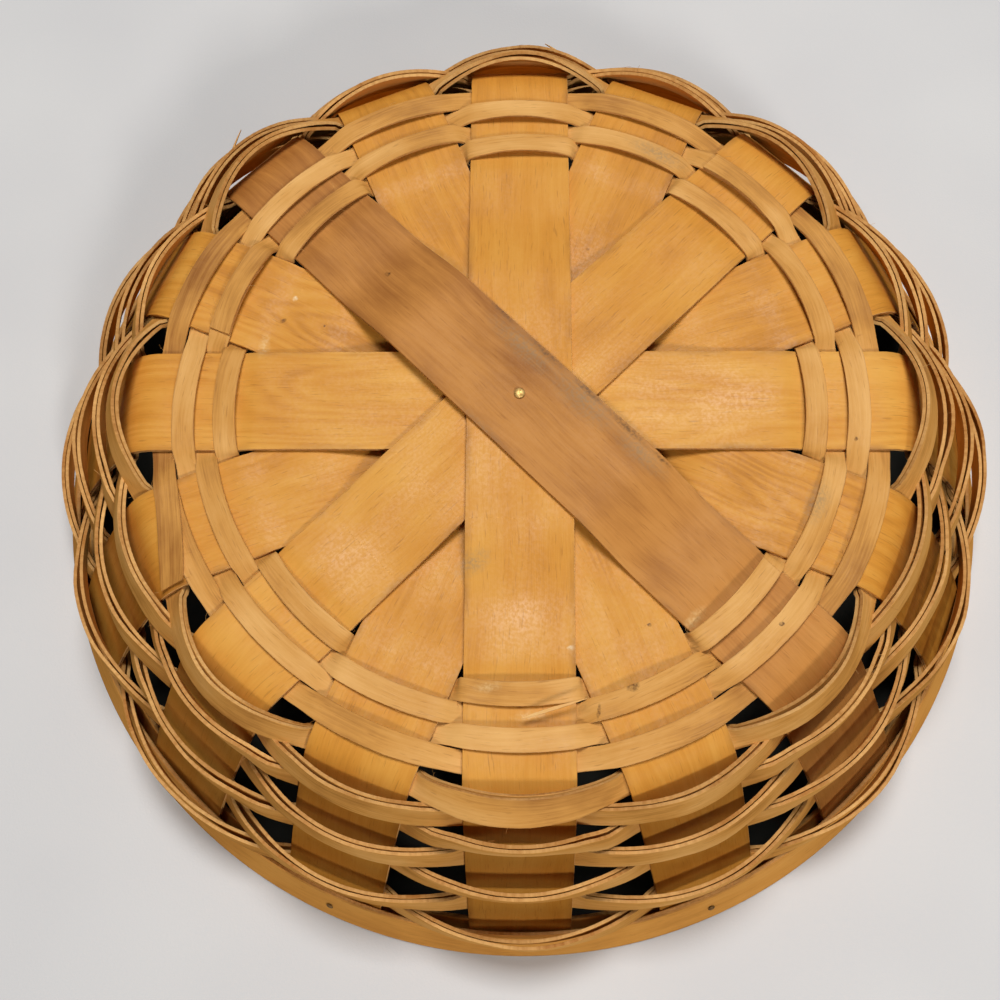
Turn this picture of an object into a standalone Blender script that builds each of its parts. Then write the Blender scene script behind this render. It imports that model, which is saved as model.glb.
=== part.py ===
"""Round splint basket for a pie, standing upside down on its rim.

Eight doubled splints cross at the middle of the base and run down the side to the rim, so they make
sixteen stakes. Eleven rows of weavers go over one stake and under the next: four flat rows on the base and
seven doubled rows round the flaring side. Two hoops grip the stake ends and brads hold them, and a brass
tack holds the crossing.

The frame is in metres. The origin is the centre of the rim on the table, and +Z points to the underside of
the base. A point of the weave is given by its distance along the middle of a stake, from the centre of the
base out to the rim, and by its height outward from that middle.
"""

import math

import bmesh
import bpy
from mathutils import Matrix, Vector

# Overall form
RIM_RADIUS = 0.1524
BASE_HEIGHT = 0.0700
BASE_RADIUS = 0.1035
SHOULDER_RADIUS = 0.0120
SHOULDER_ANGLE = math.radians(54.0)

# Fits
CLEARANCE = 0.0003
PLY_GAP = 0.00018
CUT_OVERRUN = 0.0010
MERGE_DISTANCE = 0.00001

# Splints
SPLINT_WIDTH = 0.0298
SPLINT_PLY = 0.0005
SPLINT_SETBACK = 0.0008
CROSSING_EASE = 0.0006
TACK_DIMPLE = 0.00006
SETTLE_LENGTH = 0.0240
MERGE_LENGTH = 0.0040
# Place of each splint round the base, in steps from the X axis, from the top of the crossing to the bottom
SPLINT_STEPS = (6, 4, 2, 0, 5, 3, 1, 7)
MAIN_SPLINTS = 4

# Weavers of the base, whose rows share the room between the place where the splints meet and the shoulder
BASE_ROWS = 4
BASE_WEAVER_WIDTH = 0.0074
BASE_WEAVER_THICKNESS = 0.0007
BASE_ROW_GAP = 0.0005
BASE_LAST_ROW_SETBACK = 0.0016
# Number of the stake, counted round from the X axis, where the ends of each row lap
BASE_LAP_STAKES = (14, 7, 2, 9)

# Weavers of the side
SIDE_ROWS = 7
SIDE_WEAVER_WIDTH = 0.0083
SIDE_WEAVER_PLY = 0.0010
SIDE_PLY_GAP = 0.00025
SIDE_ROW_GAP = 0.0008
SIDE_FIRST_ROW_GAP = 0.0002
SIDE_ROW_POWER = 1.2
# How far the middle of an arch stands off the stake: the first row, the next one and the last one
FIRST_ROW_BULGE = 0.0034
NEXT_ROW_BULGE = 0.0022
LAST_ROW_BULGE = 0.0034
SIDE_ARCH_POWER = 2.0
SIDE_BUTT_GAP = 0.0006
# How far the rows over the upper splints ride up the stakes in the middle of an arch, least at the last row
UPPER_SPLINT_RIDE = 0.0048
# Slopes of the weavers at the middle of a stake: the first row, which bends over the shoulder, the rows over
# the upper splints, and the first and last row over the lower splints
FIRST_ROW_SLOPE = math.radians(37.0)
UPPER_SPLINT_SLOPE = math.radians(85.0)
LOWER_SPLINT_FIRST_SLOPE = math.radians(68.0)
LOWER_SPLINT_LAST_SLOPE = math.radians(85.0)

# Rim
HOOP_THICKNESS = 0.0015
HOOP_WIDTH = 0.0155
HOOP_SEGMENTS = 64

# Brads of the rim
BRAD_RADIUS = 0.00055
BRAD_HEAD_RADIUS = 0.0011
BRAD_HEAD_HEIGHT = 0.0004
BRAD_END_RADIUS = 0.0008
BRAD_END_HEIGHT = 0.0003
BRAD_SIDES = 6

# Tack in the middle of the base
TACK_RADIUS = 0.0007
TACK_HEAD_RADIUS = 0.0016
TACK_HEAD_HEIGHT = 0.0007
TACK_END_RADIUS = 0.0012
TACK_END_HEIGHT = 0.0004
TACK_SIDES = 10

# Shares of the half width of a stake where a weaver has a station. Past 1 they lie between the stakes
BASE_STATION_SHARES = (-1.0, -0.36, 0.36, 1.0)
BASE_HEAD_SHARES = (-0.7, -0.36, 0.36, 1.0)
BASE_TAIL_SHARES = (-1.0, -0.36, 0.36, 0.7)
SIDE_OUTSIDE_SHARES = (-1.5, -0.75, 0.0, 0.75, 1.5)
SIDE_INSIDE_SHARES = (-1.0, 1.0)

# Colours are linear: red, green, blue
HONEY_SPLINT = (0.64, 0.29, 0.09)
BROWN_SPLINT = (0.50, 0.22, 0.08)
PALE_WEAVER = (0.68, 0.38, 0.13)
RIM_WOOD = (0.62, 0.31, 0.09)
BRASS = (0.70, 0.46, 0.16)
STEEL = (0.42, 0.38, 0.34)

# Sizes worked out from those above
STAKES = 2 * len(SPLINT_STEPS)
STEP_ANGLE = math.tau / STAKES
SPLINT_HALF = SPLINT_PLY + PLY_GAP / 2
LAYER_PITCH = 2 * SPLINT_HALF + CLEARANCE
CROSSING_HALF = (len(SPLINT_STEPS) - 1) / 2 * LAYER_PITCH + SPLINT_HALF
CROSSING_END = SPLINT_WIDTH / 2 / math.tan(STEP_ANGLE) + CROSSING_EASE
MERGE_START = SPLINT_WIDTH / 2 / math.tan(STEP_ANGLE / 2) + CROSSING_EASE
STAKE_BOW = (SPLINT_WIDTH / 2) ** 2 / (2 * RIM_RADIUS)
BASE_FIRST_ROW = MERGE_START + MERGE_LENGTH + CROSSING_EASE + BASE_WEAVER_WIDTH / 2
BASE_LAST_ROW = BASE_RADIUS - BASE_LAST_ROW_SETBACK
BASE_ROW_PITCH = (BASE_LAST_ROW - BASE_FIRST_ROW) / (BASE_ROWS - 1)
BASE_WEAVER_RISE = SPLINT_HALF + CLEARANCE + BASE_WEAVER_THICKNESS / 2
SIDE_FIRST_ROW = BASE_LAST_ROW + (BASE_WEAVER_WIDTH + SIDE_WEAVER_WIDTH) / 2 + SIDE_FIRST_ROW_GAP
SIDE_WEAVER_RISE = SPLINT_HALF + CLEARANCE + SIDE_WEAVER_PLY + SIDE_PLY_GAP / 2
HOOP_NEAR = SPLINT_HALF + CLEARANCE
HOOP_FAR = HOOP_NEAR + HOOP_THICKNESS


def clear_scene():
    for obj in list(bpy.data.objects):
        bpy.data.objects.remove(obj, do_unlink=True)


def new_collection(name):
    collection = bpy.data.collections.new(name)
    bpy.context.scene.collection.children.link(collection)
    return collection


def new_material(name, colour, roughness, metallic):
    material = bpy.data.materials.new(name)
    material.use_nodes = True
    shader = material.node_tree.nodes["Principled BSDF"]
    shader.inputs["Base Color"].default_value = (*colour, 1.0)
    shader.inputs["Roughness"].default_value = roughness
    shader.inputs["Metallic"].default_value = metallic
    return material


class Basket:
    """The collection of the pieces, and the empty at the centre of the rim that carries them."""

    def __init__(self):
        self.collection = new_collection("Pie basket")
        self.frame = bpy.data.objects.new("basket_frame", None)
        self.frame.empty_display_size = RIM_RADIUS
        self.collection.objects.link(self.frame)

    def add(self, name, mesh, colour, roughness=0.35, metallic=0.0):
        """A named piece with its own material, at the empty's own place until it is moved."""
        mesh.materials.clear()
        mesh.materials.append(new_material(f"{name} finish", colour, roughness, metallic))
        obj = bpy.data.objects.new(name, mesh)
        obj.parent = self.frame
        self.collection.objects.link(obj)
        return obj


class Wall:
    """The middle line of a stake in its own upright plane: a flat base, a tight shoulder and a slow curve
    down to the rim."""

    def __init__(self):
        self.end_radius = RIM_RADIUS - HOOP_THICKNESS - CLEARANCE - SPLINT_HALF - STAKE_BOW
        self.side_radius = BASE_RADIUS + SHOULDER_RADIUS * math.sin(SHOULDER_ANGLE)
        self.side_height = BASE_HEIGHT - SHOULDER_RADIUS * (1 - math.cos(SHOULDER_ANGLE))
        chord = math.atan2(self.side_height, self.end_radius - self.side_radius)
        self.rim_angle = 2 * chord - SHOULDER_ANGLE
        drop = math.cos(SHOULDER_ANGLE) - math.cos(self.rim_angle)
        self.curve_radius = self.side_height / drop
        self.shoulder_end = BASE_RADIUS + SHOULDER_RADIUS * SHOULDER_ANGLE
        self.length = self.shoulder_end + self.curve_radius * (self.rim_angle - SHOULDER_ANGLE)

    def angle(self, along):
        """Slope below the horizontal."""
        if along <= BASE_RADIUS:
            return 0.0
        if along <= self.shoulder_end:
            return (along - BASE_RADIUS) / SHOULDER_RADIUS
        return SHOULDER_ANGLE + (along - self.shoulder_end) / self.curve_radius

    def point(self, along, out=0.0):
        """Radius and height of the point at this distance along the stake and this height outward."""
        slope = self.angle(along)
        if along <= BASE_RADIUS:
            radius, height = along, BASE_HEIGHT
        elif along <= self.shoulder_end:
            radius = BASE_RADIUS + SHOULDER_RADIUS * math.sin(slope)
            height = BASE_HEIGHT - SHOULDER_RADIUS * (1 - math.cos(slope))
        else:
            radius = self.side_radius + self.curve_radius * (math.sin(slope) - math.sin(SHOULDER_ANGLE))
            height = self.side_height - self.curve_radius * (math.cos(SHOULDER_ANGLE) - math.cos(slope))
        return Vector((radius + out * math.sin(slope), height + out * math.cos(slope)))


WALL = Wall()


def ribbon_mesh(name, pairs):
    """The middle of a strip, as a surface through pairs of points across it, one pair a station."""
    mesh = bpy.data.meshes.new(name)
    build = bmesh.new()
    edges = [build.edges.new([build.verts.new(point) for point in pair]) for pair in pairs]
    for near, far in zip(edges, edges[1:]):
        build.faces.new((near.verts[0], near.verts[1], far.verts[1], far.verts[0]))
    build.to_mesh(mesh)
    build.free()
    return mesh


def thicken(obj, thickness, offset=0.0):
    """Gives a ribbon its thickness. The offset is 0 for a strip on the middle surface itself."""
    solid = obj.modifiers.new("Thickness", "SOLIDIFY")
    solid.thickness = thickness
    solid.offset = offset
    solid.use_even_offset = True
    solid.use_quality_normals = True


def blend(share):
    return share * share * (3 - 2 * share)


def splint_line(layer):
    """Stations (distance along, height) of half a splint, from the centre of the base to the rim.

    At the crossing each splint lies at its own layer, drawn down a little by the tack. Clear of the splints
    two steps away it settles to the upper or the lower of two layers, and clear of its neighbours it joins
    the common middle line."""
    crossing = ((len(SPLINT_STEPS) - 1) / 2 - layer) * LAYER_PITCH
    settled = math.copysign(LAYER_PITCH / 2, crossing)
    line = [(TACK_HEAD_RADIUS + CLEARANCE, crossing - TACK_DIMPLE), (SPLINT_WIDTH / 4, crossing)]
    for step in range(4):
        share = step / 3
        line.append((CROSSING_END + SETTLE_LENGTH * share, crossing + (settled - crossing) * blend(share)))
    line.append((MERGE_START, settled))
    line.append((MERGE_START + MERGE_LENGTH, 0.0))
    for step in range(5):
        line.append((BASE_RADIUS + (WALL.shoulder_end - BASE_RADIUS) * step / 4, 0.0))
    last = WALL.length - SPLINT_SETBACK
    for step in range(1, 5):
        line.append((WALL.shoulder_end + (last - WALL.shoulder_end) * step / 4, 0.0))
    return line


def splint_pairs(layer):
    """A splint along X, right across the basket."""
    half = splint_line(layer)
    pairs = []
    for sign, line in ((-1, reversed(half)), (1, half)):
        for along, height in line:
            radius, up = WALL.point(along, height)
            pairs.append([(sign * radius, side, up) for side in (SPLINT_WIDTH / 2, -SPLINT_WIDTH / 2)])
    return pairs


def add_splint(layer, basket):
    """A doubled splint: two plies, one on each side of the same middle surface, turned to its place."""
    beyond = 1 + PLY_GAP / SPLINT_PLY
    for side, offset in (("outer", beyond), ("inner", -beyond)):
        name = f"splint_{layer + 1}_{side}"
        colour = BROWN_SPLINT if layer == 0 else HONEY_SPLINT
        ply = basket.add(name, ribbon_mesh(name, splint_pairs(layer)), colour)
        ply.rotation_euler.z = SPLINT_STEPS[layer] * STEP_ANGLE
        thicken(ply, SPLINT_PLY, offset)


def is_main_stake(stake):
    """Whether this stake, counted round from the X axis, belongs to one of the upper splints."""
    return stake % len(SPLINT_STEPS) in SPLINT_STEPS[:MAIN_SPLINTS]


def goes_outside(row, stake):
    """Whether a row, counted from the middle of the base, passes on the outside of this stake."""
    return is_main_stake(stake) == (row % 2 == 0)


def base_pair(row, stake, share, rise):
    """The two edges of a flat weaver at a share across a stake. It narrows where it dives between stakes."""
    middle = BASE_FIRST_ROW + row * BASE_ROW_PITCH
    room = BASE_ROW_PITCH if abs(share) == 1 else 2 * BASE_ROW_PITCH
    width = min(BASE_WEAVER_WIDTH, room - BASE_ROW_GAP)
    turn = Matrix.Rotation(stake * STEP_ANGLE, 4, "Z")
    across = share * SPLINT_WIDTH / 2
    pair = []
    for along in (middle - width / 2, middle + width / 2):
        radius, up = WALL.point(along, rise)
        pair.append(turn @ Vector((math.sqrt(radius * radius - across * across), across, up)))
    return pair


def base_row_pairs(row):
    """A single weaver on the base, which goes once round. Its tail laps over its head on one stake."""
    first = BASE_LAP_STAKES[row % len(BASE_LAP_STAKES)]
    lap = BASE_WEAVER_THICKNESS + PLY_GAP
    pairs = []
    for step in range(STAKES + 1):
        stake = first + step
        side = 1 if goes_outside(row, stake) else -1
        rise = BASE_WEAVER_RISE
        shares = BASE_STATION_SHARES
        if step == 0:
            shares = BASE_HEAD_SHARES
        elif step == STAKES:
            shares = BASE_TAIL_SHARES
            rise += lap
        pairs.extend(base_pair(row, stake, share, side * rise) for share in shares)
    return pairs


def add_base_row(row, basket):
    name = f"base_weaver_{row + 1}"
    strip = basket.add(name, ribbon_mesh(name, base_row_pairs(row)), PALE_WEAVER)
    thicken(strip, BASE_WEAVER_THICKNESS)


def side_row_places():
    """Distances along the stake of the rows of the side, closer together near the base."""
    last = WALL.length - HOOP_WIDTH - SIDE_ROW_GAP - SIDE_WEAVER_WIDTH / 2
    steps = SIDE_ROWS - 1
    return [
        SIDE_FIRST_ROW + (last - SIDE_FIRST_ROW) * (step / steps) ** SIDE_ROW_POWER
        for step in range(SIDE_ROWS)
    ]


def side_crease(side_row):
    """Where the edges of a side weaver lie along the stake when it dives between two stakes. There it is no
    wider than the rows beside it leave room for."""
    places = side_row_places()
    high = places[side_row] - SIDE_WEAVER_WIDTH / 2
    low = places[side_row] + SIDE_WEAVER_WIDTH / 2
    if side_row > 0:
        high = max(high, (places[side_row - 1] + places[side_row] + SIDE_ROW_GAP) / 2)
    if side_row < SIDE_ROWS - 1:
        low = min(low, (places[side_row] + places[side_row + 1] - SIDE_ROW_GAP) / 2)
    return high, low


def side_reach(side_row):
    """Distance across from the middle of a stake to the edge of the next one, at this row."""
    radius = WALL.point(side_row_places()[side_row]).x
    return radius * math.sin(STEP_ANGLE) - SPLINT_WIDTH / 2 * math.cos(STEP_ANGLE)


def side_stance(side_row):
    """How a weaver stands in the middle of an arch: its bulge, its ride up the stake and its slope."""
    if side_row == 0:
        return FIRST_ROW_BULGE, 0.0, FIRST_ROW_SLOPE
    share = (side_row - 1) / (SIDE_ROWS - 2)
    bulge = NEXT_ROW_BULGE + (LAST_ROW_BULGE - NEXT_ROW_BULGE) * share
    if (BASE_ROWS + side_row) % 2 == 0:
        return bulge, UPPER_SPLINT_RIDE * (1 - share), UPPER_SPLINT_SLOPE
    return bulge, 0.0, LOWER_SPLINT_FIRST_SLOPE + (LOWER_SPLINT_LAST_SLOPE - LOWER_SPLINT_FIRST_SLOPE) * share


def side_crown(side_row, over_stake):
    """Upper and lower edge that a doubled weaver springs to: over the stake its own in the middle of the arch,
    and between the stakes as narrow as where it dives."""
    bulge, ride, slope = side_stance(side_row)
    width = SIDE_WEAVER_WIDTH
    if not over_stake:
        high, low = side_crease(side_row)
        width = low - high
        ride = 0.0
    foot = side_row_places()[side_row] + SIDE_WEAVER_WIDTH / 2 - ride
    down = Vector((math.cos(slope), -math.sin(slope)))
    middle = WALL.point(foot, SIDE_WEAVER_RISE + bulge) - down * SIDE_WEAVER_WIDTH / 2
    return [middle - down * width / 2, middle + down * width / 2]


def side_pair(side_row, stake, share):
    """The upper and lower edge of the middle of a doubled weaver, at a share across a stake.

    Inside a stake it lies against the wood. Outside a stake it springs out in an arch, from the edge of the
    stake before to the edge of the stake after, and turns from the slope of the wall to its own."""
    across = share * SPLINT_WIDTH / 2
    reach = side_reach(side_row)
    pair = [WALL.point(edge, -SIDE_WEAVER_RISE) for edge in side_crease(side_row)]
    if goes_outside(BASE_ROWS + side_row, stake):
        arch = 1 - (abs(across) / reach) ** SIDE_ARCH_POWER
        past = Vector(((reach - SPLINT_WIDTH / 2) * math.tan(STEP_ANGLE / 2), 0.0))
        crown = side_crown(side_row, abs(share) < 1)
        pair = [(foot - past).lerp(top, arch) for foot, top in zip(pair, crown)]
    turn = Matrix.Rotation(stake * STEP_ANGLE, 4, "Z")
    return [turn @ Vector((radius, across, height)) for radius, height in pair]


def side_row_pairs(side_row, first):
    """Once round, from a butt joint behind the first stake back to that joint."""
    butt = SIDE_BUTT_GAP / SPLINT_WIDTH
    pairs = []
    for step in range(STAKES + 1):
        stake = first + step
        shares = SIDE_OUTSIDE_SHARES if goes_outside(BASE_ROWS + side_row, stake) else SIDE_INSIDE_SHARES
        if step == 0:
            shares = (butt, *shares[1:])
        elif step == STAKES:
            shares = (*shares[:-1], -butt)
        pairs.extend(side_pair(side_row, stake, share) for share in shares)
    return pairs


def add_side_row(side_row, basket):
    """A doubled weaver: two plies woven as one, whose joints lie opposite each other."""
    beyond = 1 + SIDE_PLY_GAP / SIDE_WEAVER_PLY
    joint = 1 + 3 * side_row
    for side, offset, first in (("outer", beyond, joint), ("inner", -beyond, joint + STAKES // 2)):
        name = f"side_weaver_{side_row + 1}_{side}"
        ply = basket.add(name, ribbon_mesh(name, side_row_pairs(side_row, first)), PALE_WEAVER)
        thicken(ply, SIDE_WEAVER_PLY, offset)


def profile_mesh(name, points, closed):
    """A line of (radius, height) points in the XZ plane."""
    mesh = bpy.data.meshes.new(name)
    edges = [(index, index + 1) for index in range(len(points) - 1)]
    if closed:
        edges.append((len(points) - 1, 0))
    mesh.from_pydata([(radius, 0.0, height) for radius, height in points], edges, [])
    return mesh


def turn_round(obj, segments, smooth):
    """Turns a profile about its object's Z axis."""
    screw = obj.modifiers.new("Turn", "SCREW")
    screw.steps = segments
    screw.render_steps = segments
    screw.use_merge_vertices = True
    screw.merge_threshold = MERGE_DISTANCE
    screw.use_smooth_shade = smooth


def hoop_profile(inner_out, outer_out, bow):
    """Closed section of a hoop, flat on the table, between two heights outward from the stakes."""
    top = WALL.length - HOOP_WIDTH
    tops, feet = [], []
    for out in (outer_out, inner_out):
        radius, height = WALL.point(top, out)
        tops.append((math.hypot(radius, bow), height))
        radius, height = WALL.point(WALL.length, out)
        feet.append((math.hypot(radius + height / math.tan(WALL.rim_angle), bow), 0.0))
    return [tops[0], feet[0], feet[1], tops[1]]


def add_hoops(basket):
    """The outer hoop clears the stakes' edges and the inner hoop their middles."""
    outer = hoop_profile(HOOP_NEAR, HOOP_FAR, SPLINT_WIDTH / 2)
    inner = hoop_profile(-HOOP_FAR, -HOOP_NEAR, 0.0)
    for name, section in (("rim_hoop_outer", outer), ("rim_hoop_inner", inner)):
        hoop = basket.add(name, profile_mesh(name, section, True), RIM_WOOD)
        turn_round(hoop, HOOP_SEGMENTS, False)


def pin_profile(radius, head_radius, head_height, end_radius, end_height, top, bottom):
    """Half section of a pin with a domed head above the wood and a flattened end below it."""
    crown = [
        (head_radius * math.sin(turn), top + head_height * math.cos(turn))
        for turn in (0.0, math.pi / 4, math.pi / 2)
    ]
    shank = [(radius, top), (radius, bottom)]
    end = [(end_radius, bottom), (end_radius, bottom - end_height), (0.0, bottom - end_height)]
    return crown + shank + end


def brad_reach():
    """Height outward of the outer face of the rim, over the middle of a stake."""
    return HOOP_FAR + STAKE_BOW * math.sin(WALL.rim_angle)


def brad_stakes():
    return [stake for stake in range(STAKES) if not is_main_stake(stake)]


def brad_frame(stake):
    """Place of a brad, half way up the rim on this stake. Its Z axis points out through the rim."""
    along = WALL.length - HOOP_WIDTH / 2
    radius, height = WALL.point(along)
    turn = Matrix.Rotation(stake * STEP_ANGLE, 4, "Z")
    tilt = Matrix.Rotation(WALL.angle(along), 4, "Y")
    return turn @ Matrix.Translation((radius, 0.0, height)) @ tilt


def add_brads(basket):
    """One through both hoops and the splint between them, on every second stake."""
    profile = pin_profile(
        BRAD_RADIUS,
        BRAD_HEAD_RADIUS,
        BRAD_HEAD_HEIGHT,
        BRAD_END_RADIUS,
        BRAD_END_HEIGHT,
        brad_reach() + CLEARANCE,
        -HOOP_FAR - CLEARANCE,
    )
    for number, stake in enumerate(brad_stakes(), 1):
        name = f"rim_brad_{number}"
        brad = basket.add(name, profile_mesh(name, profile, False), STEEL, 0.4, 1.0)
        place, turn, _ = brad_frame(stake).decompose()
        brad.location = place
        brad.rotation_euler = turn.to_euler()
        turn_round(brad, BRAD_SIDES, True)


def add_tack(basket):
    """Through the middle of all the splints, with its head on the outside."""
    reach = CROSSING_HALF + CLEARANCE
    profile = pin_profile(
        TACK_RADIUS, TACK_HEAD_RADIUS, TACK_HEAD_HEIGHT, TACK_END_RADIUS, TACK_END_HEIGHT, reach, -reach
    )
    tack = basket.add("centre_tack", profile_mesh("centre_tack", profile, False), BRASS, 0.3, 1.0)
    tack.location.z = BASE_HEIGHT
    turn_round(tack, TACK_SIDES, True)


def add_cutter(name, radius, sides, low, high, frames, collection):
    """A cylinder from low to high along the Z axis of each frame, all as one cutter."""
    mesh = bpy.data.meshes.new(name)
    build = bmesh.new()
    for frame in frames:
        bmesh.ops.create_cone(
            build,
            cap_ends=True,
            segments=sides,
            radius1=radius,
            radius2=radius,
            depth=high - low,
            matrix=frame @ Matrix.Translation((0.0, 0.0, (high + low) / 2)),
        )
    build.to_mesh(mesh)
    build.free()
    cutter = bpy.data.objects.new(name, mesh)
    collection.objects.link(cutter)
    cutter.hide_render = True
    cutter.display_type = "WIRE"
    return cutter


def drill(obj, cutter):
    hole = obj.modifiers.new(cutter.name, "BOOLEAN")
    hole.operation = "DIFFERENCE"
    hole.object = cutter


def drill_holes(basket):
    """The tack goes through every splint, and the brads through both hoops and the lower splints."""
    cutters = new_collection("Cutters")
    depth = CROSSING_HALF + CUT_OVERRUN
    middle = [Matrix.Translation((0.0, 0.0, BASE_HEIGHT))]
    tack_hole = add_cutter("Tack hole", TACK_RADIUS + CLEARANCE, TACK_SIDES, -depth, depth, middle, cutters)
    low, high = -HOOP_FAR - CUT_OVERRUN, brad_reach() + CUT_OVERRUN
    frames = [brad_frame(stake) for stake in brad_stakes()]
    brad_holes = add_cutter("Brad holes", BRAD_RADIUS + CLEARANCE, BRAD_SIDES, low, high, frames, cutters)
    for layer in range(len(SPLINT_STEPS)):
        for side in ("outer", "inner"):
            ply = basket.collection.objects[f"splint_{layer + 1}_{side}"]
            drill(ply, tack_hole)
            if layer >= MAIN_SPLINTS:
                drill(ply, brad_holes)
    for name in ("rim_hoop_outer", "rim_hoop_inner"):
        drill(basket.collection.objects[name], brad_holes)


def main():
    clear_scene()
    basket = Basket()
    for layer in range(len(SPLINT_STEPS)):
        add_splint(layer, basket)
    for row in range(BASE_ROWS):
        add_base_row(row, basket)
    for side_row in range(SIDE_ROWS):
        add_side_row(side_row, basket)
    add_hoops(basket)
    add_brads(basket)
    add_tack(basket)
    drill_holes(basket)


main()
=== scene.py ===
"""Looks of the splint pie basket, standing upside down on its rim on a pale cloth.

The frame is that of the solids: metres, the origin at the centre of the rim on the table, and +Z up to the
underside of the base. A strip of wood is first a surface along its middle, with its grain laid out in metres
along and across it. Geometry Nodes then cut a ply from each side of that surface and roughen its cut edges.
"""

import math
import random

import bpy
from mathutils import Matrix, Vector


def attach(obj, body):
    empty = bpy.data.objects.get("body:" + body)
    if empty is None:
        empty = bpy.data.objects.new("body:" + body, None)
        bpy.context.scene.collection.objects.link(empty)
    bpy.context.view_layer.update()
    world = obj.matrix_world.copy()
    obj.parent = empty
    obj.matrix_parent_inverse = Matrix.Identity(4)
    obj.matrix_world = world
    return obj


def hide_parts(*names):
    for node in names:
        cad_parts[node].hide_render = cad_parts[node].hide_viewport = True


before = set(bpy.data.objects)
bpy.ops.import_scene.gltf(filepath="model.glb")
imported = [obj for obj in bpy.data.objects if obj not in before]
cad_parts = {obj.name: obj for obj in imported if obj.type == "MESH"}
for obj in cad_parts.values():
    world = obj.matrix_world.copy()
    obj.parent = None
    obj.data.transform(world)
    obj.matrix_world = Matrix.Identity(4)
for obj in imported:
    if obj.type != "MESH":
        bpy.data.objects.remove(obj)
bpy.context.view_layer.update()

MM = 0.001

# Overall form, as in the solids
RIM_RADIUS = 152.4 * MM
BASE_HEIGHT = 70.0 * MM
BASE_RADIUS = 103.5 * MM
SHOULDER_RADIUS = 12.0 * MM
SHOULDER_ANGLE = math.radians(54.0)
CLEARANCE = 0.3 * MM
PLY_GAP = 0.18 * MM

# Splints
SPLINT_WIDTH = 29.8 * MM
SPLINT_PLY = 0.5 * MM
SPLINT_SETBACK = 0.8 * MM
CROSSING_EASE = 0.6 * MM
SETTLE_LENGTH = 24.0 * MM
MERGE_LENGTH = 4.0 * MM
SPLINT_STEPS = (6, 4, 2, 0, 5, 3, 1, 7)
MAIN_SPLINTS = 4
SPLINT_STATION = 2.2 * MM
SPLINT_COLUMNS = 12

# Weavers of the base
BASE_ROWS = 4
BASE_WEAVER_WIDTH = 7.4 * MM
BASE_STRIP_WIDTH = 6.4 * MM
BASE_STRIP_TILT = 0.85 * MM
BASE_WEAVER_THICKNESS = 0.7 * MM
BASE_LAST_ROW_SETBACK = 1.6 * MM
BASE_ROW_TOUCH = 0.1 * MM
BASE_CROWN = 0.5 * MM
BASE_LAP_STAKES = (14, 7, 2, 9)
FREE_TAIL_DRIFT = 7.5 * MM
FREE_TAIL_SHARE = 0.92

# Weavers of the side
SIDE_ROWS = 7
SIDE_WEAVER_WIDTH = 8.3 * MM
SIDE_WEAVER_PLY = 1.0 * MM
SIDE_PLY_GAP = 0.25 * MM
SIDE_ROW_GAP = 0.8 * MM
SIDE_ROW_TOUCH = 0.35 * MM
SIDE_FIRST_ROW_GAP = 0.2 * MM
SIDE_ROW_POWER = 1.2
FIRST_ROW_BULGE = 3.4 * MM
NEXT_ROW_BULGE = 2.2 * MM
LAST_ROW_BULGE = 3.4 * MM
UPPER_SPLINT_RIDE = 4.8 * MM
FIRST_ROW_SLOPE = math.radians(37.0)
# By stake: how much steeper the first row stands than over the stake at the front, in degrees
FIRST_ROW_TURNS = {0: 24.0, 2: 18.0, 4: 20.0, 6: 20.0, 8: 26.0, 10: 22.0, 12: 0.0, 14: 24.0}
FIRST_ROW_SLIDE = 0.06 * MM
UPPER_SPLINT_SLOPE = math.radians(85.0)
LOWER_SPLINT_FIRST_SLOPE = math.radians(68.0)
LOWER_SPLINT_LAST_SLOPE = math.radians(85.0)
SIDE_ARCH_POWER = 2.0
SIDE_INNER_BOW = 0.5 * MM
SIDE_BUTT_GAP = 0.6 * MM
# The butt joint of each row lies behind the third stake on from that of the row before
SIDE_FIRST_JOINT = 1
SIDE_JOINT_STEP = 3
PINCH_LENGTH = 0.9
# How far each row has slid down the stakes since it was woven
SIDE_SLIDES = tuple(slide * MM for slide in (-0.3, 0.0, 0.0, 0.0, -0.8, 1.8, 0.4))

# Rim, brads and tack
HOOP_THICKNESS = 1.5 * MM
HOOP_WIDTH = 15.5 * MM
HOOP_SEGMENTS = 256
HOOP_ROUNDING = 0.35 * MM
BRADS = 8
BRAD_RADIUS = 0.55 * MM
BRAD_HEAD_RADIUS = 1.1 * MM
BRAD_HEAD_HEIGHT = 0.4 * MM
BRAD_END_RADIUS = 0.8 * MM
BRAD_END_HEIGHT = 0.3 * MM
TACK_RADIUS = 0.7 * MM
TACK_HEAD_RADIUS = 1.6 * MM
TACK_HEAD_HEIGHT = 0.7 * MM
TACK_END_RADIUS = 1.2 * MM
TACK_END_HEIGHT = 0.4 * MM
PIN_SIDES = 32
PIN_END_TAPER = 0.9

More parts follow.
